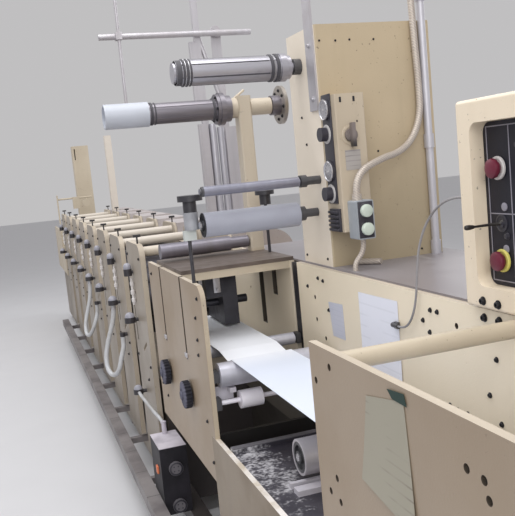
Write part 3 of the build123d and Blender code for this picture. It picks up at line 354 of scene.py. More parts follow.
def plate_enamel(name, colour, soiled, face_light_and_grime, coat_x, top, bores, slots):
    """Enamel of a plate: faces below coat_x in a colour of grime with painted light and shade, worn bright
    along the top, painted shade in its bores and slots.
    """
    finish = enamel(name, colour, soiled)
    outside = finish.x < coat_x
    grime = finish.patches(0.3, 0.75, 1.7, 5.0)
    grimy_face_light = finish.blend(grime * 0.5, face_light_and_grime, tuple(0.8 * part for part in face_light_and_grime))
    # Painted light and shade with grime: the faces below coat_x take the given colour, darker than the
    # enamel on the operator's side and paler on the gear side.
    finish.cover(outside * 0.86, grimy_face_light)
    edge = finish.z + finish.noise(30.0, 3.0) * 0.0012 > top
    finish.cover(edge, EDGE_CREAM)
    bore_shade = 0.0
    for y, z in bores:
        across = finish.y - y
        up = finish.z - z
        bore_shade = (across * across + up * up < BORE_RADIUS * BORE_RADIUS) + bore_shade
    for low_y, high_y, low_z, high_z in slots:
        bore_shade = finish.y.between(low_y, high_y) * finish.z.between(low_z, high_z) + bore_shade
    # Painted shade darkens the bores and slots.
    finish.cover(bore_shade * 0.92, BORE_SHADE)
    return finish


OPERATOR_FACE = -0.39
OPERATOR_COAT = -0.3893
GEAR_FACE = 0.04
GEAR_COAT = 0.0403
PLATE_TOP = 1.2352
DIE_SLOTS = (-1.84, -2.195)
operator_enamel = plate_enamel(
    "operator_enamel", (0.5, 0.42, 0.31), (0.34, 0.28, 0.21), (0.33, 0.252, 0.18), OPERATOR_COAT,
    PLATE_TOP,
    [(-3.484, 1.202), (-3.411, 1.159), (-3.477, 0.976), (-3.44, 0.936), (-3.486, 0.93), (-3.936, 1.163),
     (-3.976, 1.161), (-3.985, 1.136)],
    [(y - 0.0103, y + 0.0103, 0.938, 1.24) for y in DIE_SLOTS])
dress(operator_enamel, "delivery_plate_operator", "die_plate_operator")
gear_enamel = plate_enamel(
    "gear_enamel", (0.7, 0.615, 0.485), (0.54, 0.465, 0.36), (0.92, 0.81, 0.63), GEAR_COAT, PLATE_TOP,
    [(-2.385, 1.126), (-2.386, 1.048), (-2.349, 0.962), (-2.452, 0.992), (-2.461, 0.896), (-2.331, 0.819),
     (-3.327, 1.175), (-3.257, 1.175), (-3.255, 0.82), (-3.329, 0.819), (-3.344, 0.774)],
    [(-2.0005, -1.9505, 1.0815, 1.2095), (-1.8395, -1.7845, 0.9405, 1.2005)])
# Painted shade: the gear plate is painted near black low down beside the pit.
pit_side_shade = gear_enamel.rise(gear_enamel.y, -2.62, -2.5)
pit_side_shade = pit_side_shade * gear_enamel.rise(0.93 - gear_enamel.z, 0.0, 0.16)
gear_enamel.cover(pit_side_shade * 0.9, RECESS_SHADE)
dress(gear_enamel, "delivery_plate_gear", "die_plate_gear")


# Ties, post and unwind: round bars and plates in thick cream enamel, painted paler towards the far end and
# high up as painted light. The cross beam of the die section has the same enamel under its brown rail.
tie_enamel = enamel("tie_enamel", (0.55, 0.475, 0.365), (0.42, 0.35, 0.255), 0.5)
# Painted light: the far ties and the high parts are painted paler.
painted_haze = tie_enamel.rise(tie_enamel.y, -1.6, -1.1) + (tie_enamel.z > 1.26) * 0.35
painted_haze = painted_haze * (tie_enamel.y < 3.3) * 0.7
tie_enamel.cover(painted_haze, (0.66, 0.6, 0.53))
dress(tie_enamel, "round_ties", "cross_beam", "unwind_frame", "mandrel_post")


# Deck over the gears: lilac-grey laminate with fine scratches and paler worn patches.
deck_laminate = Finish("deck_laminate", 0.36)
worn = deck_laminate.patches(0.38, 0.68, 2.2, 6.0)
scratches = deck_laminate.patches(0.64, 0.7, 24.0, 3.0, (1.0, 0.06, 1.0))
deck_laminate.mottle(worn, (0.215, 0.195, 0.21), (0.285, 0.265, 0.28))
deck_laminate.cover(scratches * 0.35, (0.46, 0.45, 0.47))
deck_laminate.gloss(worn * 0.2 + 0.3)
deck_laminate.relief(scratches, 0.0002)
dress(deck_laminate, "deck_top")


# Screws of the side plates: black socket-head cap screws with a washer, beside the plates' ties
# and bearings.
TO_OPERATOR = (-1.0, 0.0, 0.0)
TO_GEARS = (1.0, 0.0, 0.0)
TO_DELIVERY = (0.0, -1.0, 0.0)
UP = (0.0, 0.0, 1.0)
ORIGIN = (0.0, 0.0, 0.0)
SMOOTHED_BELOW = math.radians(35.0)


def close_up():
    """Turns all faces of the piece in edit mode outwards and leaves edit mode."""
    bpy.ops.mesh.select_all(action="SELECT")
    bpy.ops.mesh.normals_make_consistent(inside=False)
    bpy.ops.object.mode_set(mode="OBJECT")
    return bpy.context.object


def turned(start, direction, profile, sides=32):
    """A turned piece: rings of (distance along, radius), closed at both ends."""
    start = Vector(start)
    direction = Vector(direction).normalized()
    place = start + direction * profile[0][0]
    bpy.ops.mesh.primitive_circle_add(vertices=sides, radius=profile[0][1], fill_type="NGON", location=place,
                                      rotation=direction.to_track_quat("Z", "Y").to_euler())
    bpy.ops.object.transform_apply()
    bpy.ops.object.mode_set(mode="EDIT")
    bpy.ops.mesh.select_all(action="SELECT")
    for (before, old_radius), (distance, radius) in zip(profile, profile[1:]):
        step = direction * (distance - before)
        bpy.ops.mesh.extrude_region_move(TRANSFORM_OT_translate={"value": step})
        place = start + direction * distance
        grown = radius / old_radius
        bpy.ops.transform.resize(value=(grown, grown, grown), center_override=place)
    return close_up()


def block(low, high, edge=0.002):
    """A block between two corners with its edges rounded over."""
    low = Vector(low)
    high = Vector(high)
    bpy.ops.mesh.primitive_cube_add(size=1.0, location=(low + high) / 2.0)
    piece = bpy.context.object
    piece.scale = high - low
    bpy.ops.object.transform_apply()
    bpy.ops.object.mode_set(mode="EDIT")
    bpy.ops.mesh.select_all(action="SELECT")
    bpy.ops.mesh.bevel(offset=edge, segments=3, affect="EDGES")
    return close_up()


def repeat(model, places):
    """Copies a model that stands at the origin to each place."""
    pieces = []
    for place in places:
        twin = bpy.data.objects.new("twin", model.data.copy())
        twin.data.transform(Matrix.Translation(place))
        scene.collection.objects.link(twin)
        pieces.append(twin)
    bpy.data.objects.remove(model)
    return pieces


def fit(name, pieces, finish, body="frame"):
    """Joins pieces into one mesh that holds its place, with its smoothing, finish and body."""
    bpy.ops.object.select_all(action="DESELECT")
    for piece in pieces:
        piece.select_set(True)
    piece = pieces[0]
    bpy.context.view_layer.objects.active = piece
    if len(pieces) > 1:
        bpy.ops.object.join()
    piece.name = name
    bpy.ops.object.shade_smooth_by_angle(angle=SMOOTHED_BELOW)
    piece.data.materials.clear()
    piece.data.materials.append(finish.material)
    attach(piece, body)
    return piece


def cap_screw(radius, direction):
    """A socket-head cap screw on a thin washer, standing at the origin."""
    return turned(ORIGIN, direction, [
        (-0.002, radius * 1.45), (0.0012, radius * 1.45), (0.0014, radius * 1.02), (radius * 0.95, radius),
        (radius * 1.1, radius * 0.86), (radius * 1.1, radius * 0.52), (radius * 0.5, radius * 0.46)], 12)


black_steel = bare_metal("black_steel", (0.045, 0.045, 0.052), (0.02, 0.018, 0.018), 0.42)


def screws(name, radius, direction, places, body="frame"):
    """Black cap screws of one size at each place."""
    fit(name, repeat(cap_screw(radius, direction), places), black_steel, body)


PLATE_SCREW_RADIUS = 0.0048
screws("operator_screws", PLATE_SCREW_RADIUS, TO_OPERATOR, [(OPERATOR_FACE, y, z) for y, z in (
    (-2.395, 1.12), (-2.39, 1.045), (-2.381, 0.992), (-2.409, 0.772), (-1.743, 0.685), (-1.66, 1.19),
    (-1.66, 0.72), (-2.44, 1.19), (-2.44, 0.64))])
screws("gear_screws", PLATE_SCREW_RADIUS, TO_OPERATOR, [(GEAR_FACE, y, z) for y, z in (
    (-2.427, 1.197), (-2.468, 1.192), (-2.328, 1.158), (-2.498, 1.097), (-3.105, 1.164), (-3.143, 1.196),
    (-3.175, 1.196), (-3.135, 1.138), (-4.05, 1.19), (-4.38, 1.19), (-4.38, 0.8), (-3.207, 0.966),
    (-3.241, 0.963), (-3.283, 0.965), (-3.414, 0.979), (-3.408, 1.125), (-3.376, 1.036))])


# Notices on the plates: a sheet of white paper and a small bluish label on the gear side, and a
# green-tabbed leaflet in a clear sleeve on the operator's side. All are bare but for ruled lines.
def notice(name, corners, finish, thickness=0.0006, curl=0.0):
    """A sheet through four corners, cut into a grid, lifted a little along its free edge."""
    bpy.ops.mesh.primitive_grid_add(x_subdivisions=8, y_subdivisions=10, size=2.0)
    piece = bpy.context.object
    first, second, third, fourth = (Vector(corner) for corner in corners)
    for vertex in piece.data.vertices:
        across = (vertex.co.x + 1.0) / 2.0
        down = (1.0 - vertex.co.y) / 2.0
        spot = first.lerp(second, across).lerp(fourth.lerp(third, across), down)
        spot.x -= curl * (down ** 3) * (0.6 + 0.4 * across)
        vertex.co = spot
    solid = piece.modifiers.new("thickness", "SOLIDIFY")
    solid.thickness = thickness
    solid.offset = 0.0
    bpy.ops.object.modifier_apply(modifier="thickness")
    bpy.ops.object.mode_set(mode="EDIT")
    fit(name, [close_up()], finish)


def paper(name, colour, ruled, pitch, strength, roughness=0.6):
    """Paper or foil with faint ruled lines across it and soft creases."""
    finish = Finish(name, roughness)
    lines = ((finish.z % pitch) < pitch * 0.16) * finish.patches(0.4, 0.6, 9.0, 2.0)
    cloud = finish.noise(8.0, 3.0)
    finish.mottle(cloud * 0.3, colour, tuple(0.82 * part for part in colour))
    finish.cover(lines * strength, ruled)
    finish.relief(finish.noise(5.0, 2.0), 0.002)
    return finish


notice_paper = paper("notice_paper", (0.84, 0.85, 0.93), (0.62, 0.63, 0.69), 0.034, 0.25)
notice("gear_notice", [(0.0385, y, z) for y, z in (
    (-2.735, 1.19), (-2.975, 1.195), (-2.975, 0.905), (-2.735, 0.9))], notice_paper, 0.0006, 0.004)
label_foil = paper("label_foil", (0.6, 0.61, 0.7), (0.47, 0.48, 0.57), 0.016, 0.3, 0.35)
notice("gear_label", [(0.0392, y, z) for y, z in (
    (-2.5, 1.126), (-2.61, 1.132), (-2.614, 1.016), (-2.52, 1.014))], label_foil)
leaflet_film = paper("leaflet_film", (0.35, 0.325, 0.255), (0.2, 0.18, 0.14), 0.021, 0.75, 0.45)
notice("operator_leaflet", [(OPERATOR_FACE - 0.0012, y, z) for y, z in (
    (-3.64, 1.188), (-3.772, 1.212), (-3.79, 0.995), (-3.602, 1.024))], leaflet_film, 0.0006, 0.004)
green_tab = moulded("green_tab", (0.01, 0.036, 0.028), (0.018, 0.048, 0.038), 0.6)
notice("leaflet_tab", [(OPERATOR_FACE - 0.0022, y, z) for y, z in (
    (-3.722, 1.221), (-3.776, 1.226), (-3.783, 1.207), (-3.738, 1.208))], green_tab, 0.001)


# Die section: the cross beam's brown steel rail, the dark pressure blocks between the plates,
# bright stubs and nuts at the foot of the plates' slots, and clamp plates with hexagon screws.
rail_steel = bare_metal("rail_steel", (0.205, 0.165, 0.145), (0.11, 0.09, 0.078), 0.45,
                        (0.06, 1.0, 1.0), 0.7)
dress(rail_steel, "bridge_plate")
block_steel = bare_metal("block_steel", (0.075, 0.075, 0.09), (0.028, 0.026, 0.03), 0.42)
dress(block_steel, "pressure_blocks")
stub = turned(ORIGIN, UP, [
    (0.0, 0.006), (0.01, 0.006), (0.01, 0.009), (0.02, 0.009), (0.021, 0.006), (0.03, 0.0055),
    (0.03, 0.0035), (0.034, 0.003)], 16)
bright_steel = bare_metal("bright_steel", (0.62, 0.61, 0.64), (0.36, 0.34, 0.34), 0.26)
fit("slot_stubs", repeat(stub, [(-0.382, y, 0.94) for y in DIE_SLOTS]), bright_steel)
slot_nuts = [block((-0.396, y - 0.016, 0.946), (-0.3885, y + 0.016, 0.962)) for y in DIE_SLOTS]
fit("slot_nuts", slot_nuts, bright_steel)
clamps = [block((-0.206, -1.9535, 1.118), (-0.178, -1.949, 1.208), 0.0012),
          block((-0.264, -1.9535, 1.135), (-0.25, -1.949, 1.178), 0.0012)]
for x, z in ((-0.192, 1.194), (-0.192, 1.132), (-0.257, 1.157)):
    clamps.append(turned((x, -1.953, z), TO_DELIVERY, [
        (0.0, 0.0065), (0.0045, 0.0065), (0.0055, 0.0055), (0.0055, 0.003), (0.01, 0.0028)], 6))
fit("clamp_plates", clamps, bright_steel)


# Hand knobs of the die section: black moulded wheels with flutes round the rim and a fluted face painted
# paler and bluish as a painted sheen, each on its own spindle.
def fluted(centre, radius, teeth, rings):
    """A fluted wheel about X: rings of (distance towards the operator, share of the radius)."""
    bpy.ops.mesh.primitive_circle_add(vertices=teeth * 4, radius=radius, fill_type="NGON", location=centre,
                                      rotation=(0.0, math.radians(-90.0), 0.0))
    piece = bpy.context.object
    bpy.ops.object.transform_apply()
    bpy.ops.object.mode_set(mode="EDIT")
    bpy.ops.mesh.select_mode(type="VERT")
    bpy.ops.mesh.select_all(action="DESELECT")
    bpy.ops.object.mode_set(mode="OBJECT")
    for vertex in piece.data.vertices:
        turn = math.atan2(vertex.co.z - centre.z, vertex.co.y - centre.y)
        vertex.select = math.cos(teeth * turn + 0.3) < 0.0
    bpy.ops.object.mode_set(mode="EDIT")
    bpy.ops.transform.resize(value=(1.0, 0.91, 0.91), center_override=centre)
    bpy.ops.mesh.select_all(action="SELECT")
    reach = 0.0
    share = 1.0
    for distance, wide in rings:
        bpy.ops.mesh.extrude_region_move(TRANSFORM_OT_translate={"value": (reach - distance, 0.0, 0.0)})
        bpy.ops.transform.resize(value=(1.0, wide / share, wide / share),
                                 center_override=centre - Vector((distance, 0.0, 0.0)))
        reach = distance
        share = wide
    return close_up()


knob_black = Finish("knob_black", 0.75)
face_sheen = knob_black.rise(-0.4155 - knob_black.x, 0.0, 0.006)
wear = knob_black.noise(60.0, 4.0)
knob_black.mottle(wear, (0.005, 0.005, 0.011), (0.013, 0.012, 0.022))
# Painted sheen: the fluted face is painted pale bluish.
knob_black.cover(face_sheen * 0.9, knob_black.blend(wear, (0.17, 0.17, 0.23), (0.06, 0.06, 0.09)))
knob_black.relief(wear, 0.0003)
KNOB_HEIGHT = 0.812
for number, knob_y in enumerate(DIE_SLOTS, 1):
    wheel = fluted(Vector((-0.396, knob_y, KNOB_HEIGHT)), 0.05, 22, [
        (0.004, 1.0), (0.02, 1.0), (0.024, 0.97), (0.026, 0.9), (0.028, 0.62), (0.029, 0.58), (0.029, 0.5),
        (0.026, 0.44)])
    boss = turned((-0.4215, knob_y, KNOB_HEIGHT), TO_OPERATOR, [
        (0.0, 0.016), (0.007, 0.016), (0.0085, 0.0145), (0.0085, 0.007), (0.005, 0.006)], 24)
    hub = turned((-0.362, knob_y, KNOB_HEIGHT), TO_OPERATOR, [
        (0.0, 0.0095), (0.024, 0.0095), (0.0285, 0.0095), (0.0285, 0.02), (0.035, 0.024)], 24)
    body = "die_knob_" + str(number)
    knob = fit("fluted_knob_" + str(number), [wheel, boss, hub], knob_black, body)
    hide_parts(body)


# Rollers and shafts: ground steel and aluminium, brushed round their axis. The delivery drum has a dark ring
# and a hexagon cap on its end. The paper web is plain white label stock, painted bluish and lighter on its
# far part as painted light; the white roller's sleeve is painted grey as painted shade.
BRUSHED_ROUND = (1.0, 0.05, 0.05)
ground_steel = bare_metal("ground_steel", (0.62, 0.62, 0.7), (0.42, 0.41, 0.45), 0.34, BRUSHED_ROUND, 0.4,
                          metallic=0.4)
dress(ground_steel, "web_roller", "delivery_roller", "die_roller")
inked_steel = bare_metal("inked_steel", (0.105, 0.1, 0.115), (0.04, 0.034, 0.036), 0.42, BRUSHED_ROUND,
                         0.8)
dress(inked_steel, "print_cylinders")
idler_steel = bare_metal("idler_steel", (0.35, 0.35, 0.42), (0.23, 0.23, 0.28), 0.36, BRUSHED_ROUND, 0.5)
dress(idler_steel, "grey_idler")
worn_roller = bare_metal("worn_roller", (0.29, 0.275, 0.32), (0.18, 0.155, 0.15), 0.4, BRUSHED_ROUND, 0.8)
dress(worn_roller, "plain_roller")
drum_metal = bare_metal("drum_metal", (0.64, 0.61, 0.65), (0.46, 0.43, 0.45), 0.36, BRUSHED_ROUND, 0.5,
                        metallic=0.3)
dress(drum_metal, "delivery_drum")
bearing_steel = bare_metal("bearing_steel", (0.14, 0.14, 0.15), (0.05, 0.045, 0.045), 0.38)
dress(bearing_steel, "roller_bearings", "cabinet_hubs")
nip_plastic = moulded("nip_plastic", (0.94, 0.91, 0.98), (0.84, 0.8, 0.86), 0.36)
dress(nip_plastic, "nip_wheel")
bracket_plastic = moulded("bracket_plastic", (0.58, 0.56, 0.62), (0.42, 0.39, 0.42), 0.45, 0.7)
dress(bracket_plastic, "web_brackets")
# Painted shade: the white roller's sleeve is painted a shaded grey.
shaded_white_sleeve = moulded("shaded_white_sleeve", (0.35, 0.36, 0.42), (0.28, 0.28, 0.33), 0.4, 0.4, 260.0)
dress(shaded_white_sleeve, "white_roller")
web_paper = Finish("web_paper", 0.55)
web_cloud = web_paper.patches(0.3, 0.7, 3.0, 3.0)
# Painted light: the white web is painted a bluish white, lighter still on its far part.
web_paper.mottle(web_cloud * 0.4, (0.66, 0.71, 0.82), (0.62, 0.67, 0.78))
far_painted_light = web_paper.rise(web_paper.y, -2.62, -2.4)
web_paper.cover(far_painted_light, (0.88, 0.91, 0.98))
web_paper.relief(web_paper.noise(3.5, 2.0, (1.0, 0.4, 1.0)), 0.004)
dress(web_paper, "paper_web")
DRUM = (-2.925, 0.8)
drum_ring = turned((-0.2655, *DRUM), TO_OPERATOR, [
    (-0.01, 0.0425), (0.0005, 0.0425), (0.001, 0.0405), (0.001, 0.0335), (-0.008, 0.0325), (-0.012, 0.0205),
    (-0.012, 0.019), (0.0035, 0.018), (0.0045, 0.016), (0.0045, 0.008), (-0.002, 0.007)], 40)
fit("drum_ring", [drum_ring], bearing_steel, "delivery_drum")
drum_cap = turned((-0.264, *DRUM), TO_OPERATOR, [
    (0.002, 0.012), (0.0075, 0.012), (0.0085, 0.0105), (0.0085, 0.005), (0.006, 0.0045)], 6)
fit("drum_cap", [drum_cap], bright_steel, "delivery_drum")


# White roller and grey idler: a black end plate with a hexagon nut on the white roller's free
# end, and a small dark cap on the idler's.
WHITE_ROLLER = (-2.425, 1.422)
GREY_IDLER = (-2.465, 1.53)
white_end = turned((-0.34, *WHITE_ROLLER), TO_OPERATOR, [
    (-0.002, 0.04), (0.0015, 0.0398), (0.0025, 0.0385), (0.0025, 0.03), (0.001, 0.029), (0.001, 0.02),
    (0.006, 0.019), (0.007, 0.0175), (0.007, 0.013)], 40)
fit("white_end", [white_end], black_steel, "white_roller")
white_nut = turned((-0.347, *WHITE_ROLLER), TO_OPERATOR, [
    (-0.001, 0.0125), (0.0055, 0.0125), (0.0068, 0.011), (0.0068, 0.005), (0.005, 0.0045)], 6)
fit("white_nut", [white_nut], bright_steel, "white_roller")
idler_cap = turned((-0.341, *GREY_IDLER), TO_OPERATOR, [
    (-0.002, 0.0162), (0.004, 0.0162), (0.0055, 0.0148), (0.0055, 0.0105), (0.011, 0.01), (0.0118, 0.0088)],
    24)
fit("idler_cap", [idler_cap], bearing_steel, "grey_idler")


# Rewind mandrels: aluminium air shafts with dark rubber rings; the upper one has bright bands and
# lengthwise bars, the lower one a white roll core, a flange and its brake disc behind the post.
BRUSHED_ALONG = (0.05, 1.0, 1.0)
mandrel_metal = bare_metal("mandrel_metal", (0.54, 0.53, 0.58), (0.28, 0.26, 0.28), 0.3, BRUSHED_ALONG,
                           scale=60.0)
dress(mandrel_metal, "upper_mandrel")
lower_metal = Finish("lower_metal", 0.42)
core_part = lower_metal.x < -0.3585
streaks = lower_metal.noise(60.0, 4.0, BRUSHED_ALONG)
metal_shade = lower_metal.blend(streaks, (0.33, 0.31, 0.34), (0.14, 0.13, 0.15))
core_shade = lower_metal.blend(lower_metal.noise(9.0, 4.0), (0.53, 0.56, 0.63), (0.44, 0.46, 0.51))
lower_metal.mottle(core_part, metal_shade, core_shade)
lower_metal.feed(lower_metal.shader.inputs["Metallic"], (1.0 - core_part) * 0.8)
lower_metal.relief(streaks, 0.0002)
dress(lower_metal, "lower_mandrel")
disc_steel = bare_metal("disc_steel", (0.46, 0.42, 0.38), (0.26, 0.23, 0.2), 0.34, (1.0, 0.2, 0.2), 0.6)
dress(disc_steel, "brake_disc")
ring_rubber = moulded("ring_rubber", (0.06, 0.058, 0.068), (0.11, 0.105, 0.115), 0.55)
UPPER = (-2.375, 1.91)
LOWER = (-1.8, 1.833)
MANDREL_RADIUS = 0.0405


def band(shaft, start, end, proud):
    """A band with rolled edges round a mandrel."""
    wide = end - start
    rolled = MANDREL_RADIUS + proud * 0.6
    crown = MANDREL_RADIUS + proud
    return turned((start, *shaft), TO_GEARS, [
        (0.0, MANDREL_RADIUS), (0.0004, rolled), (0.0016, crown), (wide - 0.0016, crown),
        (wide - 0.0004, rolled), (wide, MANDREL_RADIUS)], 48)


def ring_of(count, radius, across, up, first=0.0):
    """Places evenly round a centre, as pairs of (across, up)."""
    turns = [math.radians(first + 360.0 * step / count) for step in range(count)]
    return [(across + radius * math.cos(turn), up + radius * math.sin(turn)) for turn in turns]


upper_rings = [band(UPPER, start, start + wide, proud) for start, wide, proud in (
    (-0.35, 0.007, 0.0035), (-0.338, 0.007, 0.0035), (-0.326, 0.006, 0.003), (-0.054, 0.011, 0.0045),
    (-0.034, 0.012, 0.0055))]
upper_rings.append(turned((-0.352, *UPPER), TO_OPERATOR, [
    (-0.001, 0.04), (0.016, 0.0398), (0.018, 0.0385), (0.018, 0.0335)], 48))
fit("upper_rings", upper_rings, ring_rubber, "upper_mandrel")
bright_bands = [band(UPPER, start, start + 0.005, 0.0026) for start in (-0.343, -0.331, -0.042)]
bright_bands.append(turned((-0.3775, *UPPER), TO_OPERATOR, [
    (-0.004, 0.025), (-0.0002, 0.025), (0.0004, 0.024), (0.0004, 0.012), (-0.006, 0.0115)], 32))
fit("upper_bands", bright_bands, bright_steel, "upper_mandrel")
bars = [turned((-0.317, y, z), TO_GEARS,
               [(0.0, 0.0012), (0.004, 0.0021), (0.255, 0.0021), (0.259, 0.0012)], 8)
        for y, z in ring_of(6, 0.0402, *UPPER, 30.0)]
fit("upper_bars", bars, ring_rubber, "upper_mandrel")
lower_rings = [band(LOWER, start, start + wide, proud) for start, wide, proud in (
    (-0.352, 0.01, 0.004), (-0.336, 0.006, 0.003), (-0.1, 0.009, 0.0045))]
fit("lower_rings", lower_rings, ring_rubber, "lower_mandrel")
flange_ring = ring_of(6, 0.051, *LOWER)
screws("flange_screws", 0.0045, TO_OPERATOR, [(-0.085, y, z) for y, z in flange_ring], "lower_mandrel")
DISC_SCREW_RADIUS = 0.005
disc_ring = ring_of(8, 0.058, *LOWER, 10.0)
disc_screws = repeat(cap_screw(DISC_SCREW_RADIUS, TO_GEARS), [(0.204, y, z) for y, z in disc_ring])
fit("disc_screws", disc_screws, bright_steel, "lower_mandrel")
near_screws = [(0.19, y, z) for y, z in disc_ring]
screws("near_screws", DISC_SCREW_RADIUS, TO_OPERATOR, near_screws, "lower_mandrel")


# Electrical cabinet and device box: welded sheet boxes in cream enamel on the deck, with small
# screws, lock slots and a label plate that is bare but for ruled lines.
cabinet_enamel = enamel("cabinet_enamel", (0.5, 0.405, 0.275), (0.4, 0.32, 0.21), 0.5)
CABINET_SIDE = 0.06
CABINET_FRONT = -2.52
DEVICE_FRONT = -2.63
narrow = cabinet_enamel.x < CABINET_SIDE + 0.0005
pale_side = cabinet_enamel.blend(cabinet_enamel.noise(3.0), (0.86, 0.77, 0.66), (0.72, 0.64, 0.52))
cabinet_enamel.cover(narrow, pale_side)
low_part = cabinet_enamel.rise(1.72 - cabinet_enamel.z, 0.0, 0.36)
cabinet_enamel.cover(low_part * (1.0 - narrow) * 0.55, (0.36, 0.3, 0.2))
dress(cabinet_enamel, "control_cabinet")
device_enamel = enamel("device_enamel", (0.52, 0.44, 0.335), (0.41, 0.34, 0.25), 0.5)
dress(device_enamel, "device_box")
screws("cabinet_screws", 0.0025, TO_DELIVERY, [(x, CABINET_FRONT, z) for x, z in (
    (0.075, 1.969), (0.131, 1.967), (0.181, 1.968), (0.267, 1.966), (0.392, 1.262), (0.254, 1.605),
    (0.44, 1.985), (0.44, 1.28))])
screws("side_screws", 0.0034, TO_OPERATOR, [(CABINET_SIDE, y, z) for y, z in (
    (-2.36, 1.741), (-2.383, 1.649), (-2.3, 1.265), (-2.48, 1.265))])
slots = [block((left, DEVICE_FRONT - 0.0015, low), (right, DEVICE_FRONT + 0.001, high), 0.0008)
         for left, right, low, high in ((0.0755, 0.0825, 1.764, 1.78), (0.1215, 0.1285, 1.764, 1.78),
                                        (0.129, 0.1335, 1.7, 1.706))]
fit("lock_slots", slots, black_steel)
label_grey = paper("label_grey", (0.4, 0.37, 0.35), (0.13, 0.12, 0.13), 0.0155, 0.85, 0.5)
notice("device_label", [(x, DEVICE_FRONT - 0.0008, z) for x, z in (
    (0.082, 1.616), (0.134, 1.616), (0.134, 1.554), (0.082, 1.554))], label_grey, 0.0008)


# Disconnect handle: a worn grey cast lever, tear-shaped with a darker tip, on a round collar.
handle_grey = Finish("handle_grey", 0.42)
wear = handle_grey.noise(35.0, 4.0)
tip = handle_grey.rise(1.664 - handle_grey.z, 0.0, 0.035)
handle_grey.mottle(wear, (0.16, 0.135, 0.13), (0.24, 0.2, 0.185))
handle_grey.cover(tip, (0.028, 0.024, 0.026))
handle_grey.relief(wear, 0.0006)
dress(handle_grey, "disconnect_handle")
collar = turned((0.105, DEVICE_FRONT, 1.662), TO_DELIVERY, [
    (-0.001, 0.031), (0.002, 0.031), (0.003, 0.029), (0.003, 0.0225), (0.0015, 0.0215)], 40)
fit("switch_collar", [collar], device_enamel)


# Gauges: two air gauges with white dials and ticks behind rings, each with a knob on a
# white washer, all on one dark strip along the device box's narrow side.
gauge_black = moulded("gauge_black", (0.03, 0.028, 0.038), (0.07, 0.066, 0.08), 0.35)
dress(gauge_black, "gauges")
strip = block((0.0555, -2.602, 1.452), (0.0605, -2.538, 1.795), 0.0012)
fit("gauge_strip", [strip], gauge_black)
dial_white = moulded("dial_white", (0.56, 0.54, 0.53), (0.42, 0.4, 0.39), 0.3)
GAUGE_X = 0.048
GAUGE_Y = -2.57
TICK_CIRCLE = 0.0215
dials = []
ticks = []
rims = []
for z in (1.748, 1.555):
    dials.append(turned((GAUGE_X, GAUGE_Y, z), TO_OPERATOR, [
        (-0.001, 0.0265), (0.001, 0.0265), (0.0014, 0.0255), (0.0014, 0.003), (0.003, 0.0025)], 40))
    rims.append(turned((GAUGE_X, GAUGE_Y, z), TO_OPERATOR, [
        (-0.001, 0.0325), (0.003, 0.0322), (0.0042, 0.0305), (0.0036, 0.0285), (0.0016, 0.0272)], 40))
    for turn in range(9):
        tilt = math.radians(210.0 - 30.0 * turn)
        y = GAUGE_Y - TICK_CIRCLE * math.cos(tilt)
        up = z + TICK_CIRCLE * math.sin(tilt)
        ticks.append(block((0.0462, y - 0.0008, up - 0.0024), (0.0467, y + 0.0008, up + 0.0024), 0.0002))
fit("gauge_dials", dials, dial_white)
fit("gauge_rims", rims, bright_steel)
fit("gauge_ticks", ticks, gauge_black)
washers = []
for z in (1.672, 1.484):
    washers.append(turned((0.0545, -2.564, z), TO_OPERATOR, [
        (-0.001, 0.03), (0.0016, 0.03), (0.0024, 0.0285), (0.0024, 0.0235)], 40))
fit("knob_washers", washers, dial_white)


# Pilot box: a small grey cast box with two pale green lamp lenses in black bezels. Behind it a
# finned dark block sits on the device box's narrow side.
pilot_grey = bare_metal("pilot_grey", (0.5, 0.54, 0.58), (0.3, 0.32, 0.35), 0.46, metallic=0.25)
dress(pilot_grey, "pilot_box")
LAMP_X = 0.105
PILOT_FACE = -2.6925
front = block((LAMP_X - 0.025, PILOT_FACE - 0.002, 1.344), (LAMP_X + 0.025, PILOT_FACE + 0.0015, 1.456),
              0.0012)
fit("pilot_face", [front], gauge_black)
lens_green = moulded("lens_green", (0.58, 0.65, 0.57), (0.4, 0.46, 0.4), 0.15, 0.9)
lenses = []
bezels = []
for z in (1.428, 1.372):
    bezels.append(turned((LAMP_X, PILOT_FACE, z), TO_DELIVERY, [
        (-0.001, 0.024), (0.003, 0.024), (0.0045, 0.0225), (0.0045, 0.0195)]))
    lenses.append(turned((LAMP_X, PILOT_FACE, z), TO_DELIVERY, [
        (0.0, 0.0198), (0.0125, 0.0198), (0.0152, 0.0186), (0.017, 0.015), (0.0178, 0.008)]))
fit("lamp_bezels", bezels, gauge_black)
fit("lamp_lenses", lenses, lens_green)
fins = [block((0.044, -2.612, z), (0.0605, -2.546, z + 0.008), 0.001) for z in
        (1.366, 1.38, 1.394, 1.408, 1.422)]
fins.append(block((0.052, -2.614, 1.363), (0.061, -2.544, 1.436), 0.001))
fit("contact_fins", fins, gauge_black)


# Conduits of the cabinet: flexible grey conduit with fine ribs, plain steel pipe with screwed
# couplings, the flat aluminium bar with its two screws, and the air ducts.
conduit_grey = Finish("conduit_grey", 0.42, 0.3)
rib_line = conduit_grey.z + conduit_grey.x * 0.8
ribs = conduit_grey.rise(rib_line % 0.009, 0.004, 0.0075)
on_flex = (conduit_grey.x < 0.423) * (conduit_grey.y < -2.518)
cloud = conduit_grey.noise(14.0, 4.0)
flex_shade = conduit_grey.blend(cloud, (0.6, 0.53, 0.46), (0.48, 0.42, 0.37))
pipe_shade = conduit_grey.blend(cloud, (0.62, 0.61, 0.66), (0.48, 0.47, 0.5))
conduit_grey.mottle(on_flex, pipe_shade, flex_shade)
conduit_grey.cover(ribs * on_flex * 0.35, (0.24, 0.22, 0.22))
conduit_grey.relief(ribs * on_flex * -1.0, 0.0012)
dress(conduit_grey, "cabinet_conduits")
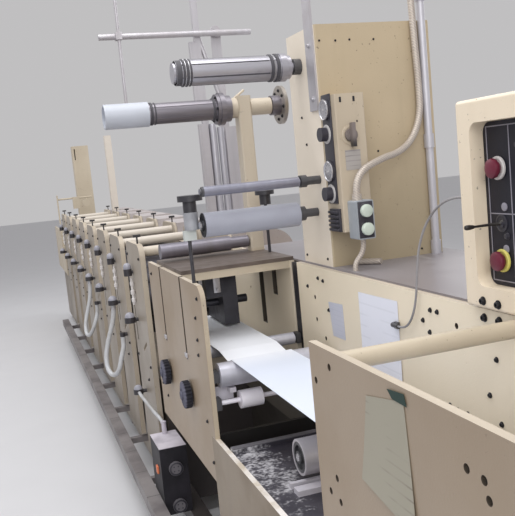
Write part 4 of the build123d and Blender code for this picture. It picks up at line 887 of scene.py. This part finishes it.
flat_metal = bare_metal("flat_metal", (0.58, 0.56, 0.59), (0.42, 0.39, 0.4), 0.38, (1.0, 1.0, 0.05),
                        metallic=0.5)
dress(flat_metal, "flat_bar", "overhead_frame")
duct_metal = bare_metal("duct_metal", (0.6, 0.59, 0.64), (0.42, 0.41, 0.44), 0.38, (1.0, 1.0, 0.08), 0.5)
dress(duct_metal, "air_ducts")
bar_screws = repeat(cap_screw(0.006, TO_OPERATOR), [(0.054, -2.481, z) for z in (1.79, 1.96)])
fit("bar_screws", bar_screws, bright_steel)


# Operator's console: a folded cream box with rounded corners and a recess; its black panel has
# pale frame lines, round keys, a lever with a rubber boot and two maroon stop buttons.
console_enamel = enamel("console_enamel", (0.86, 0.745, 0.585), (0.76, 0.64, 0.48), 0.4)
dress(console_enamel, "console")
panel_black = Finish("panel_black", 0.55)
dust = panel_black.patches(0.45, 0.75, 25.0, 4.0)
panel_black.mottle(dust * 0.4, (0.004, 0.004, 0.013), (0.014, 0.012, 0.028))
panel_black.relief(panel_black.noise(240.0, 2.0), 0.0002)
dress(panel_black, "console_panel")
PANEL_X = 0.054
line_grey = moulded("line_grey", (0.3, 0.29, 0.34), (0.22, 0.21, 0.25), 0.4)
LINE = 0.0012
lines = [block((PANEL_X - LINE, -3.843, z - LINE), (PANEL_X + 0.0006, -3.395, z + LINE), 0.0003)
         for z in (1.632, 1.447, 1.302)]
lines += [block((PANEL_X - LINE, y - LINE, 1.301), (PANEL_X + 0.0006, y + LINE, 1.633), 0.0003)
          for y in (-3.397, -3.472, -3.655, -3.841)]
fit("panel_lines", lines, line_grey)
keys = []
for y, z, size in (
    (-3.44, 1.424, 0.0065), (-3.452, 1.4, 0.006), (-3.515, 1.425, 0.007), (-3.5, 1.59, 0.0055),
    (-3.52, 1.38, 0.006), (-3.56, 1.59, 0.01), (-3.62, 1.59, 0.01), (-3.56, 1.54, 0.01), (-3.62, 1.54, 0.01),
    (-3.7, 1.58, 0.012), (-3.76, 1.58, 0.012), (-3.56, 1.4, 0.012), (-3.62, 1.4, 0.012), (-3.7, 1.4, 0.014),
    (-3.78, 1.4, 0.014),
):
    keys.append(turned((PANEL_X, y, z), TO_OPERATOR, [
        (-0.001, size * 1.25), (0.002, size * 1.25), (0.0028, size * 1.1), (0.0028, size),
        (0.006, size * 0.95), (0.0068, size * 0.75)], 20))
fit("panel_keys", keys, gauge_black)
pale_keys = []
for y, z in ((-3.446, 1.372), (-3.447, 1.462), (-3.512, 1.59)):
    pale_keys.append(turned((PANEL_X, y, z), TO_OPERATOR, [
        (-0.001, 0.009), (0.0022, 0.009), (0.003, 0.0078), (0.0034, 0.004)], 20))
fit("panel_lamps", pale_keys, line_grey)
maroon = moulded("maroon", (0.15, 0.012, 0.034), (0.095, 0.012, 0.024), 0.36, 0.6)
ring_white = moulded("ring_white", (0.66, 0.63, 0.62), (0.5, 0.46, 0.44), 0.4)
ring_yellow = moulded("ring_yellow", (0.72, 0.65, 0.16), (0.55, 0.48, 0.12), 0.4)
BUTTON_Y = -3.435
for name, z, ring_finish in (("upper", 1.544, ring_white), ("lower", 1.347, ring_yellow)):
    head = turned((0.064, BUTTON_Y, z), TO_OPERATOR, [
        (-0.024, 0.009), (0.0, 0.009), (0.008, 0.0112), (0.018, 0.0155), (0.0225, 0.0198), (0.0245, 0.021),
        (0.029, 0.021), (0.0325, 0.0198), (0.0346, 0.0155), (0.0358, 0.009), (0.036, 0.003)], 40)
    button = fit("stop_head_" + name, [head], maroon, "stop_button_" + name)
    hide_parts("stop_button_" + name)
    guard = turned((0.051, BUTTON_Y, z), TO_OPERATOR, [
        (-0.001, 0.0248), (0.003, 0.0248), (0.005, 0.0232), (0.005, 0.0195), (0.0035, 0.018)], 40)
    fit("ring_" + name, [guard], ring_finish)
LEVER_HEIGHT = 1.427
LEVER_PIN_X = 0.074
boot = turned((PANEL_X, BUTTON_Y, LEVER_HEIGHT), TO_OPERATOR, [
    (-0.001, 0.019), (0.002, 0.019), (0.003, 0.017), (0.003, 0.015), (0.0015, 0.014)])
fit("lever_boot", [boot], gauge_black)
lever_black = moulded("lever_black", (0.02, 0.017, 0.016), (0.05, 0.042, 0.036), 0.4)
rod = turned((LEVER_PIN_X, BUTTON_Y, LEVER_HEIGHT), TO_OPERATOR, [
    (-0.012, 0.005), (0.012, 0.005), (0.016, 0.0085), (0.022, 0.009), (0.026, 0.006), (0.03, 0.0034),
    (0.088, 0.0025), (0.092, 0.004), (0.1, 0.0054), (0.108, 0.0056), (0.1115, 0.0042), (0.112, 0.002)], 24)
pin = turned((LEVER_PIN_X, BUTTON_Y - 0.0238, LEVER_HEIGHT), (0.0, 1.0, 0.0), [
    (0.0, 0.004), (0.0008, 0.0048), (0.0468, 0.0048), (0.0476, 0.004)], 20)
lever = fit("lever", [rod, pin], lever_black, "jog_lever")
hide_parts("jog_lever")
screws("console_screws", 0.007, TO_OPERATOR, [
    (0.02, -3.4, 1.259), (0.02, -3.453, 1.258), (GEAR_FACE, -3.372, 1.214), (GEAR_FACE, -3.426, 1.215)])


# Print stations: slotted cream plates, darker on the outside from grime and painted shade, with painted
# shade inside and in their slots, white enamelled covers over their gears, black tee handles on top, black
# knobs with a painted reflection on their tops, white fittings, and steel collars round the hoses' ends.
STATION_STARTS = [FIRST_STATION + STATION_PITCH * number for number in range(8)]
station_enamel = plate_enamel(
    "station_enamel", (0.5, 0.43, 0.34), (0.34, 0.29, 0.23), (0.33, 0.285, 0.235), OPERATOR_COAT,
    1.2902, [],
    [(start + 0.3057, start + 0.3243, 0.797, 1.039) for start in STATION_STARTS])
# Painted shade: the plates' inner faces are painted near black up to near their tops.
inside = station_enamel.rise(1.22 - station_enamel.z, 0.0, 0.1)
inside = inside * (station_enamel.x > -0.3655)
station_enamel.cover(inside * 0.85, RECESS_SHADE)
low_down = station_enamel.rise(1.05 - station_enamel.z, 0.0, 0.4)
station_enamel.cover(low_down * 0.2, BED_DARK)
dress(station_enamel, "station_plates")
cover_white = enamel("cover_white", (0.5, 0.46, 0.46), (0.32, 0.28, 0.28), 0.6)
dress(cover_white, "station_covers")
handle_black = moulded("handle_black", (0.022, 0.019, 0.022), (0.075, 0.066, 0.062), 0.4)
dress(handle_black, "tee_handles")
# Painted reflection: the knobs are black, and their domed tops are painted pale bluish grey for the sky
# reflected on them.
knob_sky_reflection = Finish("knob_sky_reflection", 0.34)
height = knob_sky_reflection.z
reflected_top = (height > 1.162) + height.between(0.927, 0.97) + height.between(0.569, 0.6)
wear = knob_sky_reflection.noise(40.0, 4.0)
dark_shade = knob_sky_reflection.blend(wear, (0.018, 0.016, 0.02), (0.05, 0.046, 0.052))
reflection_colour = knob_sky_reflection.blend(wear, (0.4, 0.4, 0.46), (0.26, 0.26, 0.3))
knob_sky_reflection.mottle(reflected_top, dark_shade, reflection_colour)
knob_sky_reflection.relief(wear, 0.0004)
dress(knob_sky_reflection, "station_knobs")
fitting = turned(ORIGIN, UP, [
    (0.0, 0.005), (0.012, 0.005), (0.014, 0.01), (0.03, 0.01), (0.034, 0.006), (0.05, 0.006),
    (0.052, 0.011), (0.07, 0.011), (0.074, 0.006), (0.094, 0.006), (0.096, 0.01), (0.11, 0.01),
    (0.114, 0.006), (0.13, 0.005)], 16)
fittings = [(-0.4015, start + 0.248, 0.985) for start in STATION_STARTS]
fit("white_fittings", repeat(fitting, fittings), ring_white)
station_screws = [(OPERATOR_FACE, start + along, z) for start in STATION_STARTS for along, z in (
    (0.03, 1.225), (0.35, 1.225), (0.03, 0.72), (0.35, 0.72), (0.12, 0.64))]
screws("station_screws", 0.0055, TO_OPERATOR, station_screws)
collars = []
for y in (0.646, -0.554):
    collars.append(turned((-0.43, y, 0.876), UP, [
        (0.0, 0.0132), (0.0005, 0.0152), (0.014, 0.0152), (0.0145, 0.0132)], 24))
fit("hose_collars", collars, bright_steel)


# Oilers on the die section: sight-glass oilers, black wide caps over a glass full of oil on a
# slim stem, clipped beside the roller and standing on the rail.
oiler_finish = Finish("oiler_finish", 0.36)
height = oiler_finish.z
near_one = oiler_finish.y < -2.2
glass_zone = near_one * height.between(1.409, 1.466)
clip_zone = near_one * height.between(1.375, 1.409)
wear = oiler_finish.noise(50.0, 4.0)
oiler_finish.mottle(wear, (0.018, 0.017, 0.022), (0.055, 0.052, 0.06))
oil = oiler_finish.noise(30.0)
oiler_finish.cover(glass_zone, oiler_finish.blend(oil, (0.44, 0.45, 0.48), (0.2, 0.2, 0.22)))
oiler_finish.cover(clip_zone, (0.52, 0.55, 0.53))
dress(oiler_finish, "guide_stand")


# Wireway and socket box: folded sheet trunking along the stations' foot with a joint at each
# length, and a black box with two round grey sockets and a small orange tag.
TRUNK_LENGTH = 0.3
trunk_paint = Finish("trunk_paint", 0.5)
joints = ((trunk_paint.y + 1.0) % TRUNK_LENGTH) < 0.005
cloud = trunk_paint.patches(0.35, 0.7, 5.0, 5.0)
trunk_paint.mottle(cloud, (0.23, 0.21, 0.21), (0.12, 0.105, 0.11))
trunk_paint.cover(joints * 0.8, (0.05, 0.045, 0.045))
trunk_paint.relief(joints * -1.0, 0.001)
dress(trunk_paint, "wireway")
box_black = Finish("box_black", 0.6)
wear = box_black.patches(0.4, 0.72, 10.0, 5.0)
box_black.mottle(wear, (0.006, 0.005, 0.009), (0.018, 0.015, 0.022))
lid = box_black.rise(box_black.z, 0.444, 0.4465)
sockets = box_black.y < -1.7005
box_black.cover(sockets, (0.15, 0.14, 0.155))
box_black.cover(lid, box_black.blend(wear, (0.62, 0.58, 0.64), (0.42, 0.39, 0.44)))
box_black.relief(wear, 0.0005)
dress(box_black, "socket_box")
SOCKET_X = -0.388
SOCKET_FACE = -1.713
pins = []
for socket_z in (0.353, 0.186):
    for x, z in ring_of(4, 0.013, SOCKET_X, socket_z, 45.0):
        pins.append(turned((x, SOCKET_FACE, z), TO_DELIVERY, [
            (-0.001, 0.0032), (0.0016, 0.0032), (0.0022, 0.0022)], 12))
    pins.append(turned((SOCKET_X, SOCKET_FACE, socket_z), TO_DELIVERY, [
        (-0.001, 0.029), (0.0014, 0.029), (0.0026, 0.027), (0.0026, 0.0225), (0.0006, 0.0215)]))
fit("socket_rims", pins, gauge_black)
orange = moulded("orange_tag", (0.72, 0.2, 0.09), (0.55, 0.15, 0.07), 0.4)
fit("cable_tag", [block((-0.458, -1.64, 0.318), (-0.4495, -1.612, 0.352))], orange)
